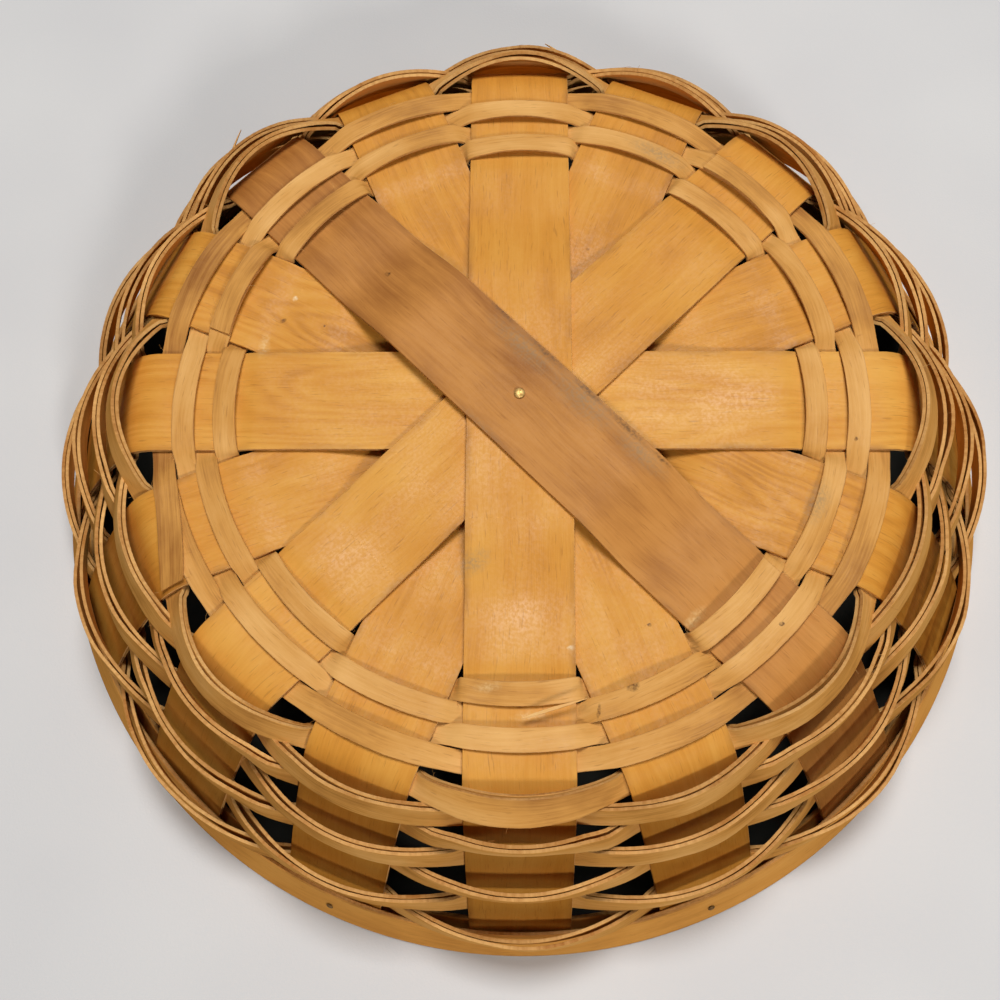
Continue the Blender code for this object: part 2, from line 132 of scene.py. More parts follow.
# Marks of use on the base, seen from above: place x and y in mm, turn in degrees, length and width in mm
DARK_MARKS = (
    (-38.1, 40.2, 20, 2.4, 1.7),
    (30.3, -81.2, 20, 4.2, 2.6),
    (21.3, -87.4, 80, 4.6, 1.3),
    (35.4, -64.1, 0, 1.5, 1.1),
    (70.4, -64.3, 30, 1.8, 1.3),
    (94.5, -11.8, 80, 1.8, 1.4),
    (-68.5, 26.2, 20, 2.6, 1.3),
    (-56.4, 24.6, 0, 1.0, 0.8),
    (20.9, 49.4, 0, 1.3, 1.0),
)
PALE_MARKS = (
    (14.2, -70.6, 10, 2.4, 1.8),
    (-65.5, 33.5, 0, 1.9, 1.9),
)
WORN_PLACES = (
    (-7.8, -81.2, 8, 9.0, 3.5),
    (3.5, -88.6, 3, 12.0, 3.0),
    (47.0, -63.0, 48, 12.0, 4.0),
    (-73.5, 18.0, 80, 10.0, 4.0),
)
GLOSSY_PLACES = (
    (62.0, 1.0, 0, 70.0, 26.0),
    (-46.0, -44.0, 45, 66.0, 27.0),
    (2.0, -58.0, 90, 50.0, 27.0),
    (6.6, -95.5, 3, 30.0, 7.0),
    (60.0, -60.0, 48, 34.0, 14.0),
    (72.0, -72.0, 48, 30.0, 9.0),
)
GREY_CLOUDS = (
    (-12.1, -47.5, 30, 13.0, 8.0),
    (82.5, -30.2, 70, 17.0, 8.0),
    (42.6, 80.3, -28, 26.0, 7.0),
)
# The same on the top splint alone, along both of its edges
TOP_CLOUDS = (
    (2.4, 14.6, -45, 34.0, 9.0),
    (18.6, -1.0, -45, 32.0, 12.0),
    (-11.5, -10.5, -45, 26.0, 8.0),
    (34.0, -17.0, -45, 24.0, 8.0),
)
# Dirt worked into the upper right edge of the top splint
EDGE_SMUDGES = (
    (-4.0, 25.5, -45, 13.0, 1.8),
    (8.5, 12.8, -44, 17.0, 2.6),
    (20.0, 1.2, -45, 12.0, 2.2),
    (30.5, -9.6, -46, 18.0, 3.0),
    (40.0, -19.0, -45, 9.0, 1.6),
)
# Slivers torn from the weavers: both ends and the width, in mm
SLIVERS = (
    ((0.5, -90.2, 73.6), (17.4, -85.2, 74.9), 0.9),
    ((-2.0, -113.0, 66.8), (6.8, -115.6, 67.6), 1.2),
    ((56.0, -104.0, 64.5), (60.5, -99.0, 68.0), 0.9),
    ((-92.5, 82.7, 60.0), (-88.2, 96.0, 62.0), 0.6),
    ((15.5, 124.5, 58.0), (8.3, 130.3, 58.5), 0.5),
)
SLIVER_THICKNESS = 0.4 * MM
SLIVER_STEPS = 10
SLIVER_BOW = 0.6 * MM
SLIVER_TIP = 0.12
SLIVER_TAPER_POWER = 0.8

# Fibres torn from the cut edges
FIBRE_CHANCE = 0.05
FIBRE_LENGTH = 2.0 * MM
FIBRE_RADIUS = 0.05 * MM
FRAYED_SIDE_ROWS = 4
FIBRE_PARTS = 5
FIBRE_SIDES = 3
FIBRE_SHORTEST = 0.3
FIBRE_TIP = 0.15
# The share from the middle of a strip to its edge from which a point counts as lying on the edge
EDGE_SHARE = 0.999

# Cut edges, and the waves and partings of the plies
EDGE_ROUNDING = 0.09 * MM
SPLINT_WAVINESS = 0.16 * MM
WEAVER_WAVINESS = 0.10 * MM
WAVE_LENGTH = 34 * MM
CUT_ROUGHNESS = 0.16 * MM
WEAVER_CUT_ROUGHNESS = 1.6 * CUT_ROUGHNESS
CUT_LENGTH = 5 * MM
CUT_REACH_POWER = 8.0
PLY_PARTING = 1.1 * MM
PARTING_LENGTH = 38 * MM
SEAM_DISTANCE = 0.002 * MM
EASED_ANGLE = math.radians(50)
SHARP_ANGLE = math.radians(35)

# How far single passes stray from the common form, either way: a size, or a share of one
PLACE_HABIT = 0.35 * MM
LEAN_HABIT = 0.35 * MM
TILT_HABIT = 0.6
BULGE_HABIT = 0.12
SLOPE_HABIT = math.radians(3.0)
SLIP_HABIT = 0.3 * MM

# Faces across each strip, and parts of its line from one station to the next
WEAVER_COLUMNS = 5
HOOP_COLUMNS = 6
SLIVER_COLUMNS = 3
BASE_LINE_PARTS = 3
SIDE_LINE_PARTS = 2

# Each strip's own place in the pattern of the wood, and the step to the next strip's
SPLINT_GRAIN = 0.37
BASE_WEAVER_GRAIN, BASE_GRAIN_STEP = 5.1, 0.41
SIDE_WEAVER_GRAIN, SIDE_GRAIN_STEP = 9.3, 0.53
HOOP_GRAIN = 14.2
SLIVER_GRAIN = 20.3
INNER_SPLINT_GRAIN = 0.19
INNER_WEAVER_GRAIN = 0.21
BASE_FIBRE_SEED = 31
SIDE_FIBRE_SEED = 52

# At which share of an arch's height its ride up the stake begins, and over how much more of it that grows
RIDE_START = 0.4
RIDE_LENGTH = 0.35

# Shares across a stake, or across the reach of an arch, where a weaver has a station
BASE_STATION_SHARES = (-1.0, -0.7, -0.35, 0.0, 0.35, 0.7, 1.0)
SIDE_OUTSIDE_SHARES = (-0.88, -0.72, -0.54, -0.36, -0.18, 0.0, 0.18, 0.36, 0.54, 0.72, 0.88)
SIDE_INSIDE_SHARES = (-1.0, -0.5, 0.0, 0.5, 1.0)
# Turns from the top of a domed head to its rim, which lies a quarter turn down and has a point of its own
DOME_TURNS = tuple(math.radians(turn) for turn in (20, 38, 54, 68, 80))

# Of each splint from the top of the crossing down: its tone at either end, 0 pale and 1 brown, and its figure
SPLINT_LOOKS = (
    (0.38, 0.80, 0.25),
    (0.34, 0.54, 0.10),
    (0.26, 0.54, 0.20),
    (0.44, 0.24, 0.75),
    (0.42, 0.60, 0.45),
    (0.44, 0.56, 0.20),
    (0.42, 0.50, 0.35),
    (0.56, 0.42, 0.90),
)
# Of the other strips the tone at either end, and of the base weavers one pair each from the middle out
BASE_WEAVER_TONES = ((0.36, 0.42), (0.32, 0.44), (0.28, 0.40), (0.48, 0.62))
SIDE_WEAVER_TONES = (0.42, 0.50)
SLIVER_TONES = (0.1, 0.1)
HOOP_TONES = (0.5, 0.5)
WEAVER_FIGURE = 0.15
HOOP_FIGURE = 0.25

# Patterns in the wood: length along the grain, width across it, how far apart the strips lie, and fineness
WANDER = (70 * MM, 40 * MM, 1, 2.0)
BANDS = (110 * MM, 7 * MM, 3, 3.0)
STREAKS = (60 * MM, 1.6 * MM, 5, 4.0)
FIBRES = (12 * MM, 0.5 * MM, 7, 3.0)
FIGURE_FIELD = (95 * MM, 17 * MM, 11, 1.0)
PORES = (5 * MM, 0.4 * MM, 13, 1.0)
WORN_PATCHES = (16 * MM, 9 * MM, 17, 3.0)
VARNISH_CLOUDS = (26 * MM, 17 * MM, 19, 4.0)
CUT_FIBRES = (1.2 * MM, 0.4 * MM, 3, 4.0)
CUT_PATCHES = (22 * MM, 22 * MM, 5, 2.0)
# How far the grain wanders sideways, and how often the rings of the figure repeat
GRAIN_SWAY = 9 * MM
RING_TURNS = 85.0
# How crooked the outlines of the marks are, and the flakes that both marks and varnish break into
MARK_CROOK_SIZE = 1.6 * MM
MARK_CROOK = 1.2 * MM
FLAKE_SIZE = 0.9 * MM
# The relief of flat wood and of a cut edge, and the size of the patches of tarnish on metal
WOOD_RELIEF = 0.14 * MM
CUT_RELIEF = 0.22 * MM
TARNISH_SIZE = 0.7 * MM
# The heights between which the painted shade of the sides fades out
PAINTED_SHADE_FULL = 60 * MM
PAINTED_SHADE_NONE = 69 * MM
# Only a wood with more polish than the least has glossy places
GLOSS = 0.52
LEAST_POLISH = 0.2

# The sheet that the basket stands on, which fades into the wall between two distances from the basket
SHEET_HALF = 6.0
SHEET_NEAR = 0.35
SHEET_FAR = 1.1
PALE_WALL = "#D6D4D1"
# Its broad shades, and its threads, drawn thick enough to show
SHEET_SHADE_SIZE = 90 * MM
SHEET_THREAD = 0.8 * MM
SHEET_RELIEF = 0.2 * MM
# Under the basket the sheet is painted nearly black as painted shade, as far as this share of the rim's
# radius
PAINTED_SHADE_SHARE = 0.97

# The camera, and the light of the room and its lamps: name, place, size, watts and colour
CAMERA_PLACE = Vector((0.7 * MM, -129.6 * MM, 388.0 * MM))
CAMERA_TARGET = Vector((-5.4 * MM, -30.0 * MM, 71.5 * MM))
CAMERA_ROLL = math.radians(-3.39)
CAMERA_LENS = 43.2
CAMERA_SENSOR = 36.0
CAMERA_NEAR = 10 * MM
ROOM_STRENGTH = 0.07
LAMP_TARGET = (0, 0, 0.04)
LAMPS = (
    ("Ceiling lamp", (0.05, 0.42, 1.5), (0.6, 0.5), 17.4, "#FFFDFA"),
    ("Front lamp", (0.32, -0.98, 0.90), (0.22, 0.22), 6.6, "#FFFAF4"),
)

# Sizes worked out from those above
STAKES = 2 * len(SPLINT_STEPS)
STEP_ANGLE = math.tau / STAKES
SPLINT_HALF = SPLINT_PLY + PLY_GAP / 2
LAYER_PITCH = 2 * SPLINT_HALF + CLEARANCE
CROSSING_HALF = (len(SPLINT_STEPS) - 1) / 2 * LAYER_PITCH + SPLINT_HALF
CROSSING_END = SPLINT_WIDTH / 2 / math.tan(STEP_ANGLE) + CROSSING_EASE
MERGE_START = SPLINT_WIDTH / 2 / math.tan(STEP_ANGLE / 2) + CROSSING_EASE
STAKE_BOW = (SPLINT_WIDTH / 2) ** 2 / (2 * RIM_RADIUS)
BASE_FIRST_ROW = MERGE_START + MERGE_LENGTH + CROSSING_EASE + BASE_WEAVER_WIDTH / 2
BASE_LAST_ROW = BASE_RADIUS - BASE_LAST_ROW_SETBACK
BASE_ROW_PITCH = (BASE_LAST_ROW - BASE_FIRST_ROW) / (BASE_ROWS - 1)
BASE_WEAVER_RISE = SPLINT_HALF + CLEARANCE + BASE_WEAVER_THICKNESS / 2
SIDE_FIRST_ROW = BASE_LAST_ROW + (BASE_WEAVER_WIDTH + SIDE_WEAVER_WIDTH) / 2 + SIDE_FIRST_ROW_GAP
SIDE_WEAVER_RISE = SPLINT_HALF + CLEARANCE + SIDE_WEAVER_PLY + SIDE_PLY_GAP / 2
HOOP_NEAR = SPLINT_HALF + CLEARANCE
HOOP_FAR = HOOP_NEAR + HOOP_THICKNESS
TACK_REACH = CROSSING_HALF + CLEARANCE


def add(tree, kind, links=None, stops=(), **settings):
    """Adds a node with its settings. An input is linked to a socket, or set to a value."""
    made = tree.nodes.new(kind)
    for name, value in settings.items():
        setattr(made, name, value)
    for number, (place, shade) in enumerate(stops):
        ramp = made.color_ramp.elements
        stop = ramp[number] if number < len(ramp) else ramp.new(place)
        stop.position = place
        stop.color = shade
    for socket, value in (links or {}).items():
        if isinstance(value, bpy.types.NodeSocket):
            tree.links.new(value, made.inputs[socket])
        else:
            made.inputs[socket].default_value = value
    return made


def colour(code):
    """An sRGB hex colour as linear light, with full alpha."""
    parts = [int(code[place:place + 2], 16) / 255 for place in (1, 3, 5)]
    linear = [part / 12.92 if part <= 0.04045 else ((part + 0.055) / 1.055) ** 2.4 for part in parts]
    return (*linear, 1.0)


class Wall:
    """The middle line of a stake in its own upright plane, as in the solids."""

    def __init__(self):
        self.end_radius = RIM_RADIUS - HOOP_THICKNESS - CLEARANCE - SPLINT_HALF - STAKE_BOW
        self.side_radius = BASE_RADIUS + SHOULDER_RADIUS * math.sin(SHOULDER_ANGLE)
        self.side_height = BASE_HEIGHT - SHOULDER_RADIUS * (1 - math.cos(SHOULDER_ANGLE))
        chord = math.atan2(self.side_height, self.end_radius - self.side_radius)
        self.rim_angle = 2 * chord - SHOULDER_ANGLE
        drop = math.cos(SHOULDER_ANGLE) - math.cos(self.rim_angle)
        self.curve_radius = self.side_height / drop
        self.shoulder_end = BASE_RADIUS + SHOULDER_RADIUS * SHOULDER_ANGLE
        self.length = self.shoulder_end + self.curve_radius * (self.rim_angle - SHOULDER_ANGLE)

    def angle(self, along):
        """Slope below the horizontal."""
        if along <= BASE_RADIUS:
            return 0.0
        if along <= self.shoulder_end:
            return (along - BASE_RADIUS) / SHOULDER_RADIUS
        return SHOULDER_ANGLE + (along - self.shoulder_end) / self.curve_radius

    def point(self, along, out=0.0):
        """Radius and height of the point at this distance along the stake and this height outward."""
        slope = self.angle(along)
        if along <= BASE_RADIUS:
            radius, height = along, BASE_HEIGHT
        elif along <= self.shoulder_end:
            radius = BASE_RADIUS + SHOULDER_RADIUS * math.sin(slope)
            height = BASE_HEIGHT - SHOULDER_RADIUS * (1 - math.cos(slope))
        else:
            radius = self.side_radius + self.curve_radius * (math.sin(slope) - math.sin(SHOULDER_ANGLE))
            height = self.side_height - self.curve_radius * (math.cos(SHOULDER_ANGLE) - math.cos(slope))
        return Vector((radius + out * math.sin(slope), height + out * math.cos(slope)))


WALL = Wall()


def is_main_stake(stake):
    return stake % len(SPLINT_STEPS) in SPLINT_STEPS[:MAIN_SPLINTS]


def goes_outside(row, stake):
    """Whether a row, counted from the middle of the base, passes on the outside of this stake."""
    return is_main_stake(stake) == (row % 2 == 0)


def habit(row, stake, what, spread):
    """How far one pass of one strip strays from the common form: a steady chance of its own."""
    return random.Random(f"{row} {stake % STAKES} {what}").uniform(-spread, spread)


def blend(share):
    share = min(max(share, 0.0), 1.0)
    return share * share * (3 - 2 * share)


def smooth_line(points, parts):
    """A Catmull-Rom line through the points, with this many parts from each point to the next."""
    line = []
    ends = [2 * points[0] - points[1], *points, 2 * points[-1] - points[-2]]
    for before, here, there, after in zip(ends, ends[1:], ends[2:], ends[3:]):
        for part in range(parts):
            share = part / parts
            line.append(
                0.5 * (
                    2 * here
                    + (there - before) * share
                    + (2 * before - 5 * here + 4 * there - after) * share ** 2
                    + (3 * here - before - 3 * there + after) * share ** 3
                )
            )
    line.append(points[-1].copy())
    return line


def strip_surface(name, pairs, columns, seed, tones, figure=0.0):
    """The middle surface of a strip through pairs of edge points, one pair a station.

    Its attributes are the grain (metres along and across, and a place of its own in the pattern), the share
    from edge to edge, the direction across, the tone of the wood, which goes from one end's to the other's,
    and how strongly its figure shows."""
    verts, faces, grain, edge, across, tone = [], [], [], [], [], []
    along = 0.0
    last = None
    for station, (near, far) in enumerate(pairs):
        middle = (near + far) / 2
        shade = tones[0] + (tones[1] - tones[0]) * station / (len(pairs) - 1)
        along += (middle - last).length if last else 0.0
        last = middle
        side = (far - near).normalized()
        for column in range(columns + 1):
            share = column / columns
            verts.append(near.lerp(far, share))
            grain.append((along, share * (far - near).length, seed))
            edge.append(2 * share - 1)
            across.append(side)
            tone.append(shade)
    for station in range(len(pairs) - 1):
        for column in range(columns):
            first = station * (columns + 1) + column
            ahead = first + columns + 1
            faces.append((first, first + 1, ahead + 1, ahead))
    mesh = bpy.data.meshes.new(name)
    mesh.from_pydata(verts, [], faces)
    for label, kind, key, values in (
        ("grain", "FLOAT_VECTOR", "vector", grain),
        ("across", "FLOAT_VECTOR", "vector", across),
        ("edge", "FLOAT", "value", edge),
        ("tone", "FLOAT", "value", tone),
        ("figure", "FLOAT", "value", [figure] * len(verts)),
    ):
        layer = mesh.attributes.new(label, kind, "POINT")
        flat = [number for value in values for number in value] if kind == "FLOAT_VECTOR" else values
        layer.data.foreach_set(key, flat)
    return mesh


def splint_height(layer, along):
    """Height of a splint's middle over the common line, at a distance from the centre of the base."""
    crossing = ((len(SPLINT_STEPS) - 1) / 2 - layer) * LAYER_PITCH
    settled = math.copysign(LAYER_PITCH / 2, crossing)
    if along < MERGE_START:
        return crossing + (settled - crossing) * blend((along - CROSSING_END) / SETTLE_LENGTH)
    return settled * (1 - blend((along - MERGE_START) / MERGE_LENGTH))


def splint_stations(layer):
    """Pairs of edge points right across the basket."""
    last = WALL.length - SPLINT_SETBACK
    count = round(last / SPLINT_STATION)
    turn = Matrix.Rotation(SPLINT_STEPS[layer] * STEP_ANGLE, 4, "Z")
    pairs = []
    for station in range(-count, count + 1):
        along = abs(station) / count * last
        radius, up = WALL.point(along, splint_height(layer, along))
        radius = math.copysign(radius, station)
        pairs.append([turn @ Vector((radius, side, up)) for side in (SPLINT_WIDTH / 2, -SPLINT_WIDTH / 2)])
    return pairs


def base_edges_along(row, pinch):
    """Where the edges of a base weaver lie along the stake.

    At a pinch of 1 it leaves room for the rows beside it, and at a pinch of 0 it is full wide. The wood has
    dried a little narrower than the room kept for it."""
    here = BASE_FIRST_ROW + row * BASE_ROW_PITCH
    high, low = here - BASE_STRIP_WIDTH / 2, here + BASE_STRIP_WIDTH / 2
    give = (BASE_STRIP_WIDTH - BASE_ROW_PITCH + BASE_ROW_TOUCH) / 2
    if row > 0:
        high += pinch * give
    if row < BASE_ROWS - 1:
        low -= pinch * give
    return high, low


def base_pair(row, stake, share, rise, pinch=0.0, drift=0.0):
    """The two edges of a flat weaver at a share across a stake. Outside it the inner edge stands higher."""
    across = share * SPLINT_WIDTH / 2
    shift = habit(row, stake, "place", PLACE_HABIT) + habit(row, stake, "lean", LEAN_HABIT) * share + drift
    tilt = 0.0
    if rise > 0:
        tilt = BASE_STRIP_TILT * (1 - share ** 2) * (1 + habit(row, stake, "tilt", TILT_HABIT))
    turn = Matrix.Rotation(stake * STEP_ANGLE, 4, "Z")
    pair = []
    for along, lift in zip(base_edges_along(row, pinch), (tilt, 0.0)):
        radius, up = WALL.point(along + shift, rise + lift)
        pair.append(turn @ Vector((math.sqrt(radius * radius - across * across), across, up)))
    return pair


def base_row_stations(row):
    """A single weaver on the base, which goes once round. Its tail laps over its head on one stake. The last
    row's tail has sprung outward and ends free."""
    first = BASE_LAP_STAKES[row]
    lap = BASE_WEAVER_THICKNESS + PLY_GAP
    pairs = []
    for step in range(STAKES + 1):
        stake = first + step
        side = 1 if goes_outside(row, stake) else -1
        if step > 0:
            before = base_pair(row, stake - 1, 1.0, -side * BASE_WEAVER_RISE, 1.0)
            after = base_pair(row, stake, -1.0, side * BASE_WEAVER_RISE, 1.0)
            pairs.append([(near + far) / 2 for near, far in zip(before, after)])
        shares = BASE_STATION_SHARES
        if step == 0:
            shares = shares[1:]
        elif step == STAKES:
            shares = (*shares[:-1], FREE_TAIL_SHARE)
        for share in shares:
            rise = BASE_WEAVER_RISE + BASE_CROWN * (1 - share ** 2)
            drift = 0.0
            if step == STAKES:
                rise += lap
                drift = FREE_TAIL_DRIFT * ((share + 1) / 2) ** 2 if row == BASE_ROWS - 1 else 0.0
            pairs.append(base_pair(row, stake, share, side * rise, drift=drift))
    return pairs


def side_row_places():
    """Distances along the stake of the rows of the side, closer together near the base."""
    last = WALL.length - HOOP_WIDTH - SIDE_ROW_GAP - SIDE_WEAVER_WIDTH / 2
    steps = SIDE_ROWS - 1
    return [
        SIDE_FIRST_ROW + (last - SIDE_FIRST_ROW) * (step / steps) ** SIDE_ROW_POWER + slide
        for step, slide in enumerate(SIDE_SLIDES)
    ]


SIDE_PLACES = side_row_places()


def side_reach(side_row):
    """Distance across from the middle of a stake to the edge of the next one."""
    radius = WALL.point(SIDE_PLACES[side_row]).x
    return radius * math.sin(STEP_ANGLE) - SPLINT_WIDTH / 2 * math.cos(STEP_ANGLE)


def side_edges_along(side_row, pinch):
    """Where the edges of a side weaver lie along the stake, with the same pinch."""
    here = SIDE_PLACES[side_row]
    high, low = here - SIDE_WEAVER_WIDTH / 2, here + SIDE_WEAVER_WIDTH / 2
    if side_row > 0:
        high += pinch * max(0.0, (SIDE_PLACES[side_row - 1] + here + SIDE_ROW_TOUCH) / 2 - high)
    if side_row < SIDE_ROWS - 1:
        low -= pinch * max(0.0, low - (SIDE_PLACES[side_row + 1] + here - SIDE_ROW_TOUCH) / 2)
    return high, low


def side_stance(side_row):
    """How a weaver stands in the middle of an arch: its bulge, its ride up the stake and its slope."""
    if side_row == 0:
        return FIRST_ROW_BULGE, 0.0, FIRST_ROW_SLOPE
    share = (side_row - 1) / (SIDE_ROWS - 2)
    bulge = NEXT_ROW_BULGE + (LAST_ROW_BULGE - NEXT_ROW_BULGE) * share
    if (BASE_ROWS + side_row) % 2 == 0:
        return bulge, UPPER_SPLINT_RIDE * (1 - share), UPPER_SPLINT_SLOPE
    return bulge, 0.0, LOWER_SPLINT_FIRST_SLOPE + (LOWER_SPLINT_LAST_SLOPE - LOWER_SPLINT_FIRST_SLOPE) * share


def side_outside_pair(side_row, stake, across, ply):
    """The upper and lower edge of a doubled weaver on its arch over a stake.

    It is pinched half way between the stakes, where the rows beside it pass to the other side."""
    row = BASE_ROWS + side_row
    reach = side_reach(side_row)
    arch = 1 - (abs(across) / reach) ** SIDE_ARCH_POWER
    passed = (abs(across) - SPLINT_WIDTH / 2) / (reach - SPLINT_WIDTH / 2)
    high, low = side_edges_along(side_row, blend(PINCH_LENGTH - abs(2 * passed - 1)))
    bulge, ride, slope = side_stance(side_row)
    bulge *= 1 + habit(row, stake, "bulge", BULGE_HABIT)
    slope += habit(row, stake, "slope", SLOPE_HABIT)
    turned = FIRST_ROW_TURNS[stake % STAKES] if side_row == 0 else 0.0
    slope += math.radians(turned)
    slip = habit(row, stake, "slip of the ply " + ply, SLIP_HABIT)
    foot = SIDE_PLACES[side_row] + SIDE_WEAVER_WIDTH / 2
    foot += habit(row, stake, "place", PLACE_HABIT) + turned * FIRST_ROW_SLIDE
    foot -= ride * blend((arch - RIDE_START) / RIDE_LENGTH)
    down = Vector((math.cos(slope), -math.sin(slope)))
    middle = WALL.point(foot, SIDE_WEAVER_RISE + bulge) - down * (SIDE_WEAVER_WIDTH / 2 + slip)
    width = low - high
    past = Vector(((reach - SPLINT_WIDTH / 2) * math.tan(STEP_ANGLE / 2), 0.0))
    turn = Matrix.Rotation(stake * STEP_ANGLE, 4, "Z")
    pair = []
    for edge, crown in ((high, middle - down * width / 2), (low, middle + down * width / 2)):
        radius, height = (WALL.point(edge, -SIDE_WEAVER_RISE) - past).lerp(crown, arch)
        pair.append(turn @ Vector((radius, across, height)))
    return pair


def side_inside_pair(side_row, stake, share):
    """The same where it passes inside a stake, against the wood and bowed a little inward."""
    across = share * SPLINT_WIDTH / 2
    rise = -SIDE_WEAVER_RISE - SIDE_INNER_BOW * (1 - share ** 2)
    turn = Matrix.Rotation(stake * STEP_ANGLE, 4, "Z")
    edges = [WALL.point(edge, rise) for edge in side_edges_along(side_row, 0.0)]
    return [turn @ Vector((radius, across, height)) for radius, height in edges]


def side_row_stations(side_row, first, ply):
    """Once round, from a butt joint behind the first stake back to that joint."""
    reach = side_reach(side_row)
    pairs = []
    for step in range(STAKES + 1):
        stake = first + step
        if goes_outside(BASE_ROWS + side_row, stake):
            for share in SIDE_OUTSIDE_SHARES:
                pairs.append(side_outside_pair(side_row, stake, share * reach, ply))
            continue
        shares = SIDE_INSIDE_SHARES
        butt = SIDE_BUTT_GAP / SPLINT_WIDTH
        if step == 0:
            shares = (butt, *shares[3:])
        elif step == STAKES:
            shares = (*shares[:2], -butt)
        pairs.extend(side_inside_pair(side_row, stake, share) for share in shares)
    return pairs


def hoop_stations(inner_out, outer_out, bow):
    """A hoop as a strip round the rim, its lower edge lifted so that its foot rests on the table."""
    out = (inner_out + outer_out) / 2
    top_radius, top = WALL.point(WALL.length - HOOP_WIDTH, out)
    foot_radius, foot = WALL.point(WALL.length, out)
    lift = HOOP_THICKNESS / 2 * math.cos(WALL.rim_angle)
    foot_radius += (foot - lift) / math.tan(WALL.rim_angle)
    pairs = []
    for segment in range(HOOP_SEGMENTS + 1):
        turn = Matrix.Rotation(segment / HOOP_SEGMENTS * math.tau, 4, "Z")
        pairs.append(
            [
                turn @ Vector((math.hypot(top_radius, bow), 0.0, top)),
                turn @ Vector((math.hypot(foot_radius, bow), 0.0, lift)),
            ]
        )
    return pairs


def strip_tree():
    """Geometry Nodes that cut one ply from a middle surface: waves, rough cut edges, thickness and finish."""
    tree = bpy.data.node_groups.new("Ply of wood", "GeometryNodeTree")
    face = tree.interface
    face.new_socket("Surface", in_out="INPUT", socket_type="NodeSocketGeometry")
    for name in ("Gap", "Parting", "Thickness", "Waviness", "Cut roughness"):
        face.new_socket(name, in_out="INPUT", socket_type="NodeSocketFloat")
    face.new_socket("Inner side", in_out="INPUT", socket_type="NodeSocketBool")
    face.new_socket("Face finish", in_out="INPUT", socket_type="NodeSocketMaterial")
    face.new_socket("Edge finish", in_out="INPUT", socket_type="NodeSocketMaterial")
    face.new_socket("Ply", in_out="OUTPUT", socket_type="NodeSocketGeometry")
    given = add(tree, "NodeGroupInput").outputs
    named = {}
    for name, kind in (("grain", "FLOAT_VECTOR"), ("across", "FLOAT_VECTOR"), ("edge", "FLOAT")):
        named[name] = add(tree, "GeometryNodeInputNamedAttribute", {"Name": name}, data_type=kind).outputs[0]
    normal = add(tree, "GeometryNodeInputNormal").outputs["Normal"]

    def moved(shape, way, amount):
        """The shape with each of its points moved this far this way."""
        offset = add(tree, "ShaderNodeVectorMath", {0: way, "Scale": amount.outputs[0]}, operation="SCALE")
        shift = {"Geometry": shape, "Offset": offset.outputs[0]}
        return add(tree, "GeometryNodeSetPosition", shift).outputs[0]

    # The whole strip waves
    slow = {"Vector": named["grain"], "Scale": 1 / WAVE_LENGTH, "Detail": 1.0}
    wave = add(tree, "ShaderNodeTexNoise", slow)
    level = add(tree, "ShaderNodeMath", {0: wave.outputs[0], 1: 0.5}, operation="SUBTRACT")
    height = add(tree, "ShaderNodeMath", {0: level.outputs[0], 1: given["Waviness"]}, operation="MULTIPLY")
    waved = moved(given["Surface"], normal, height)

    # Only its cut edges are ragged
    fine = {"Vector": named["grain"], "Scale": 1 / CUT_LENGTH, "Detail": 4.0}
    rag = add(tree, "ShaderNodeTexNoise", fine)
    level = add(tree, "ShaderNodeMath", {0: rag.outputs[0], 1: 0.5}, operation="SUBTRACT")
    ragged = {0: level.outputs[0], 1: given["Cut roughness"]}
    amount = add(tree, "ShaderNodeMath", ragged, operation="MULTIPLY")
    outer = add(tree, "ShaderNodeMath", {0: named["edge"]}, operation="ABSOLUTE")
    outer = add(tree, "ShaderNodeMath", {0: outer.outputs[0], 1: CUT_REACH_POWER}, operation="POWER")
    amount = add(tree, "ShaderNodeMath", {0: amount.outputs[0], 1: outer.outputs[0]}, operation="MULTIPLY")
    rough = moved(waved, named["across"], amount)

    # The inner ply lies on the same surface turned over, and the plies part here and there
    turned = add(tree, "GeometryNodeFlipFaces", {"Mesh": rough})
    side = add(
        tree,
        "GeometryNodeSwitch",
        {"Switch": given["Inner side"], "False": rough, "True": turned.outputs[0]},
        input_type="GEOMETRY",
    )
    long = {"Vector": named["grain"], "Scale": 1 / PARTING_LENGTH, "Detail": 1.0}
    loose = add(tree, "ShaderNodeTexNoise", long).outputs[0]
    parted = add(tree, "ShaderNodeMapRange", {0: loose, 1: 0.5, 2: 0.75, 3: 0.0, 4: given["Parting"]})
    space = add(tree, "ShaderNodeMath", {0: parted.outputs[0], 1: given["Gap"]}, operation="ADD")
    near = moved(side.outputs[0], normal, space)

    # Thickness, and a back to close it
    body = add(
        tree,
        "GeometryNodeExtrudeMesh",
        {"Mesh": near, "Offset Scale": given["Thickness"], "Individual": False},
        mode="FACES",
    ).outputs
    faced = {"Geometry": body["Mesh"], "Material": given["Face finish"]}
    faced = add(tree, "GeometryNodeSetMaterial", faced).outputs[0]
    edged = {"Geometry": faced, "Selection": body["Side"], "Material": given["Edge finish"]}
    edged = add(tree, "GeometryNodeSetMaterial", edged).outputs[0]
    back = add(tree, "GeometryNodeFlipFaces", {"Mesh": near}).outputs[0]
    backed = add(tree, "GeometryNodeSetMaterial", {"Geometry": back, "Material": given["Face finish"]})
    joined = add(tree, "GeometryNodeJoinGeometry", {"Geometry": edged})
    tree.links.new(backed.outputs[0], joined.inputs[0])
    seamed = {"Geometry": joined.outputs[0], "Distance": SEAM_DISTANCE}
    seamed = add(tree, "GeometryNodeMergeByDistance", seamed)
    whole = add(tree, "GeometryNodeRealizeInstances", {"Geometry": seamed.outputs[0]})
    add(tree, "NodeGroupOutput", {"Ply": whole.outputs[0]})
    return tree


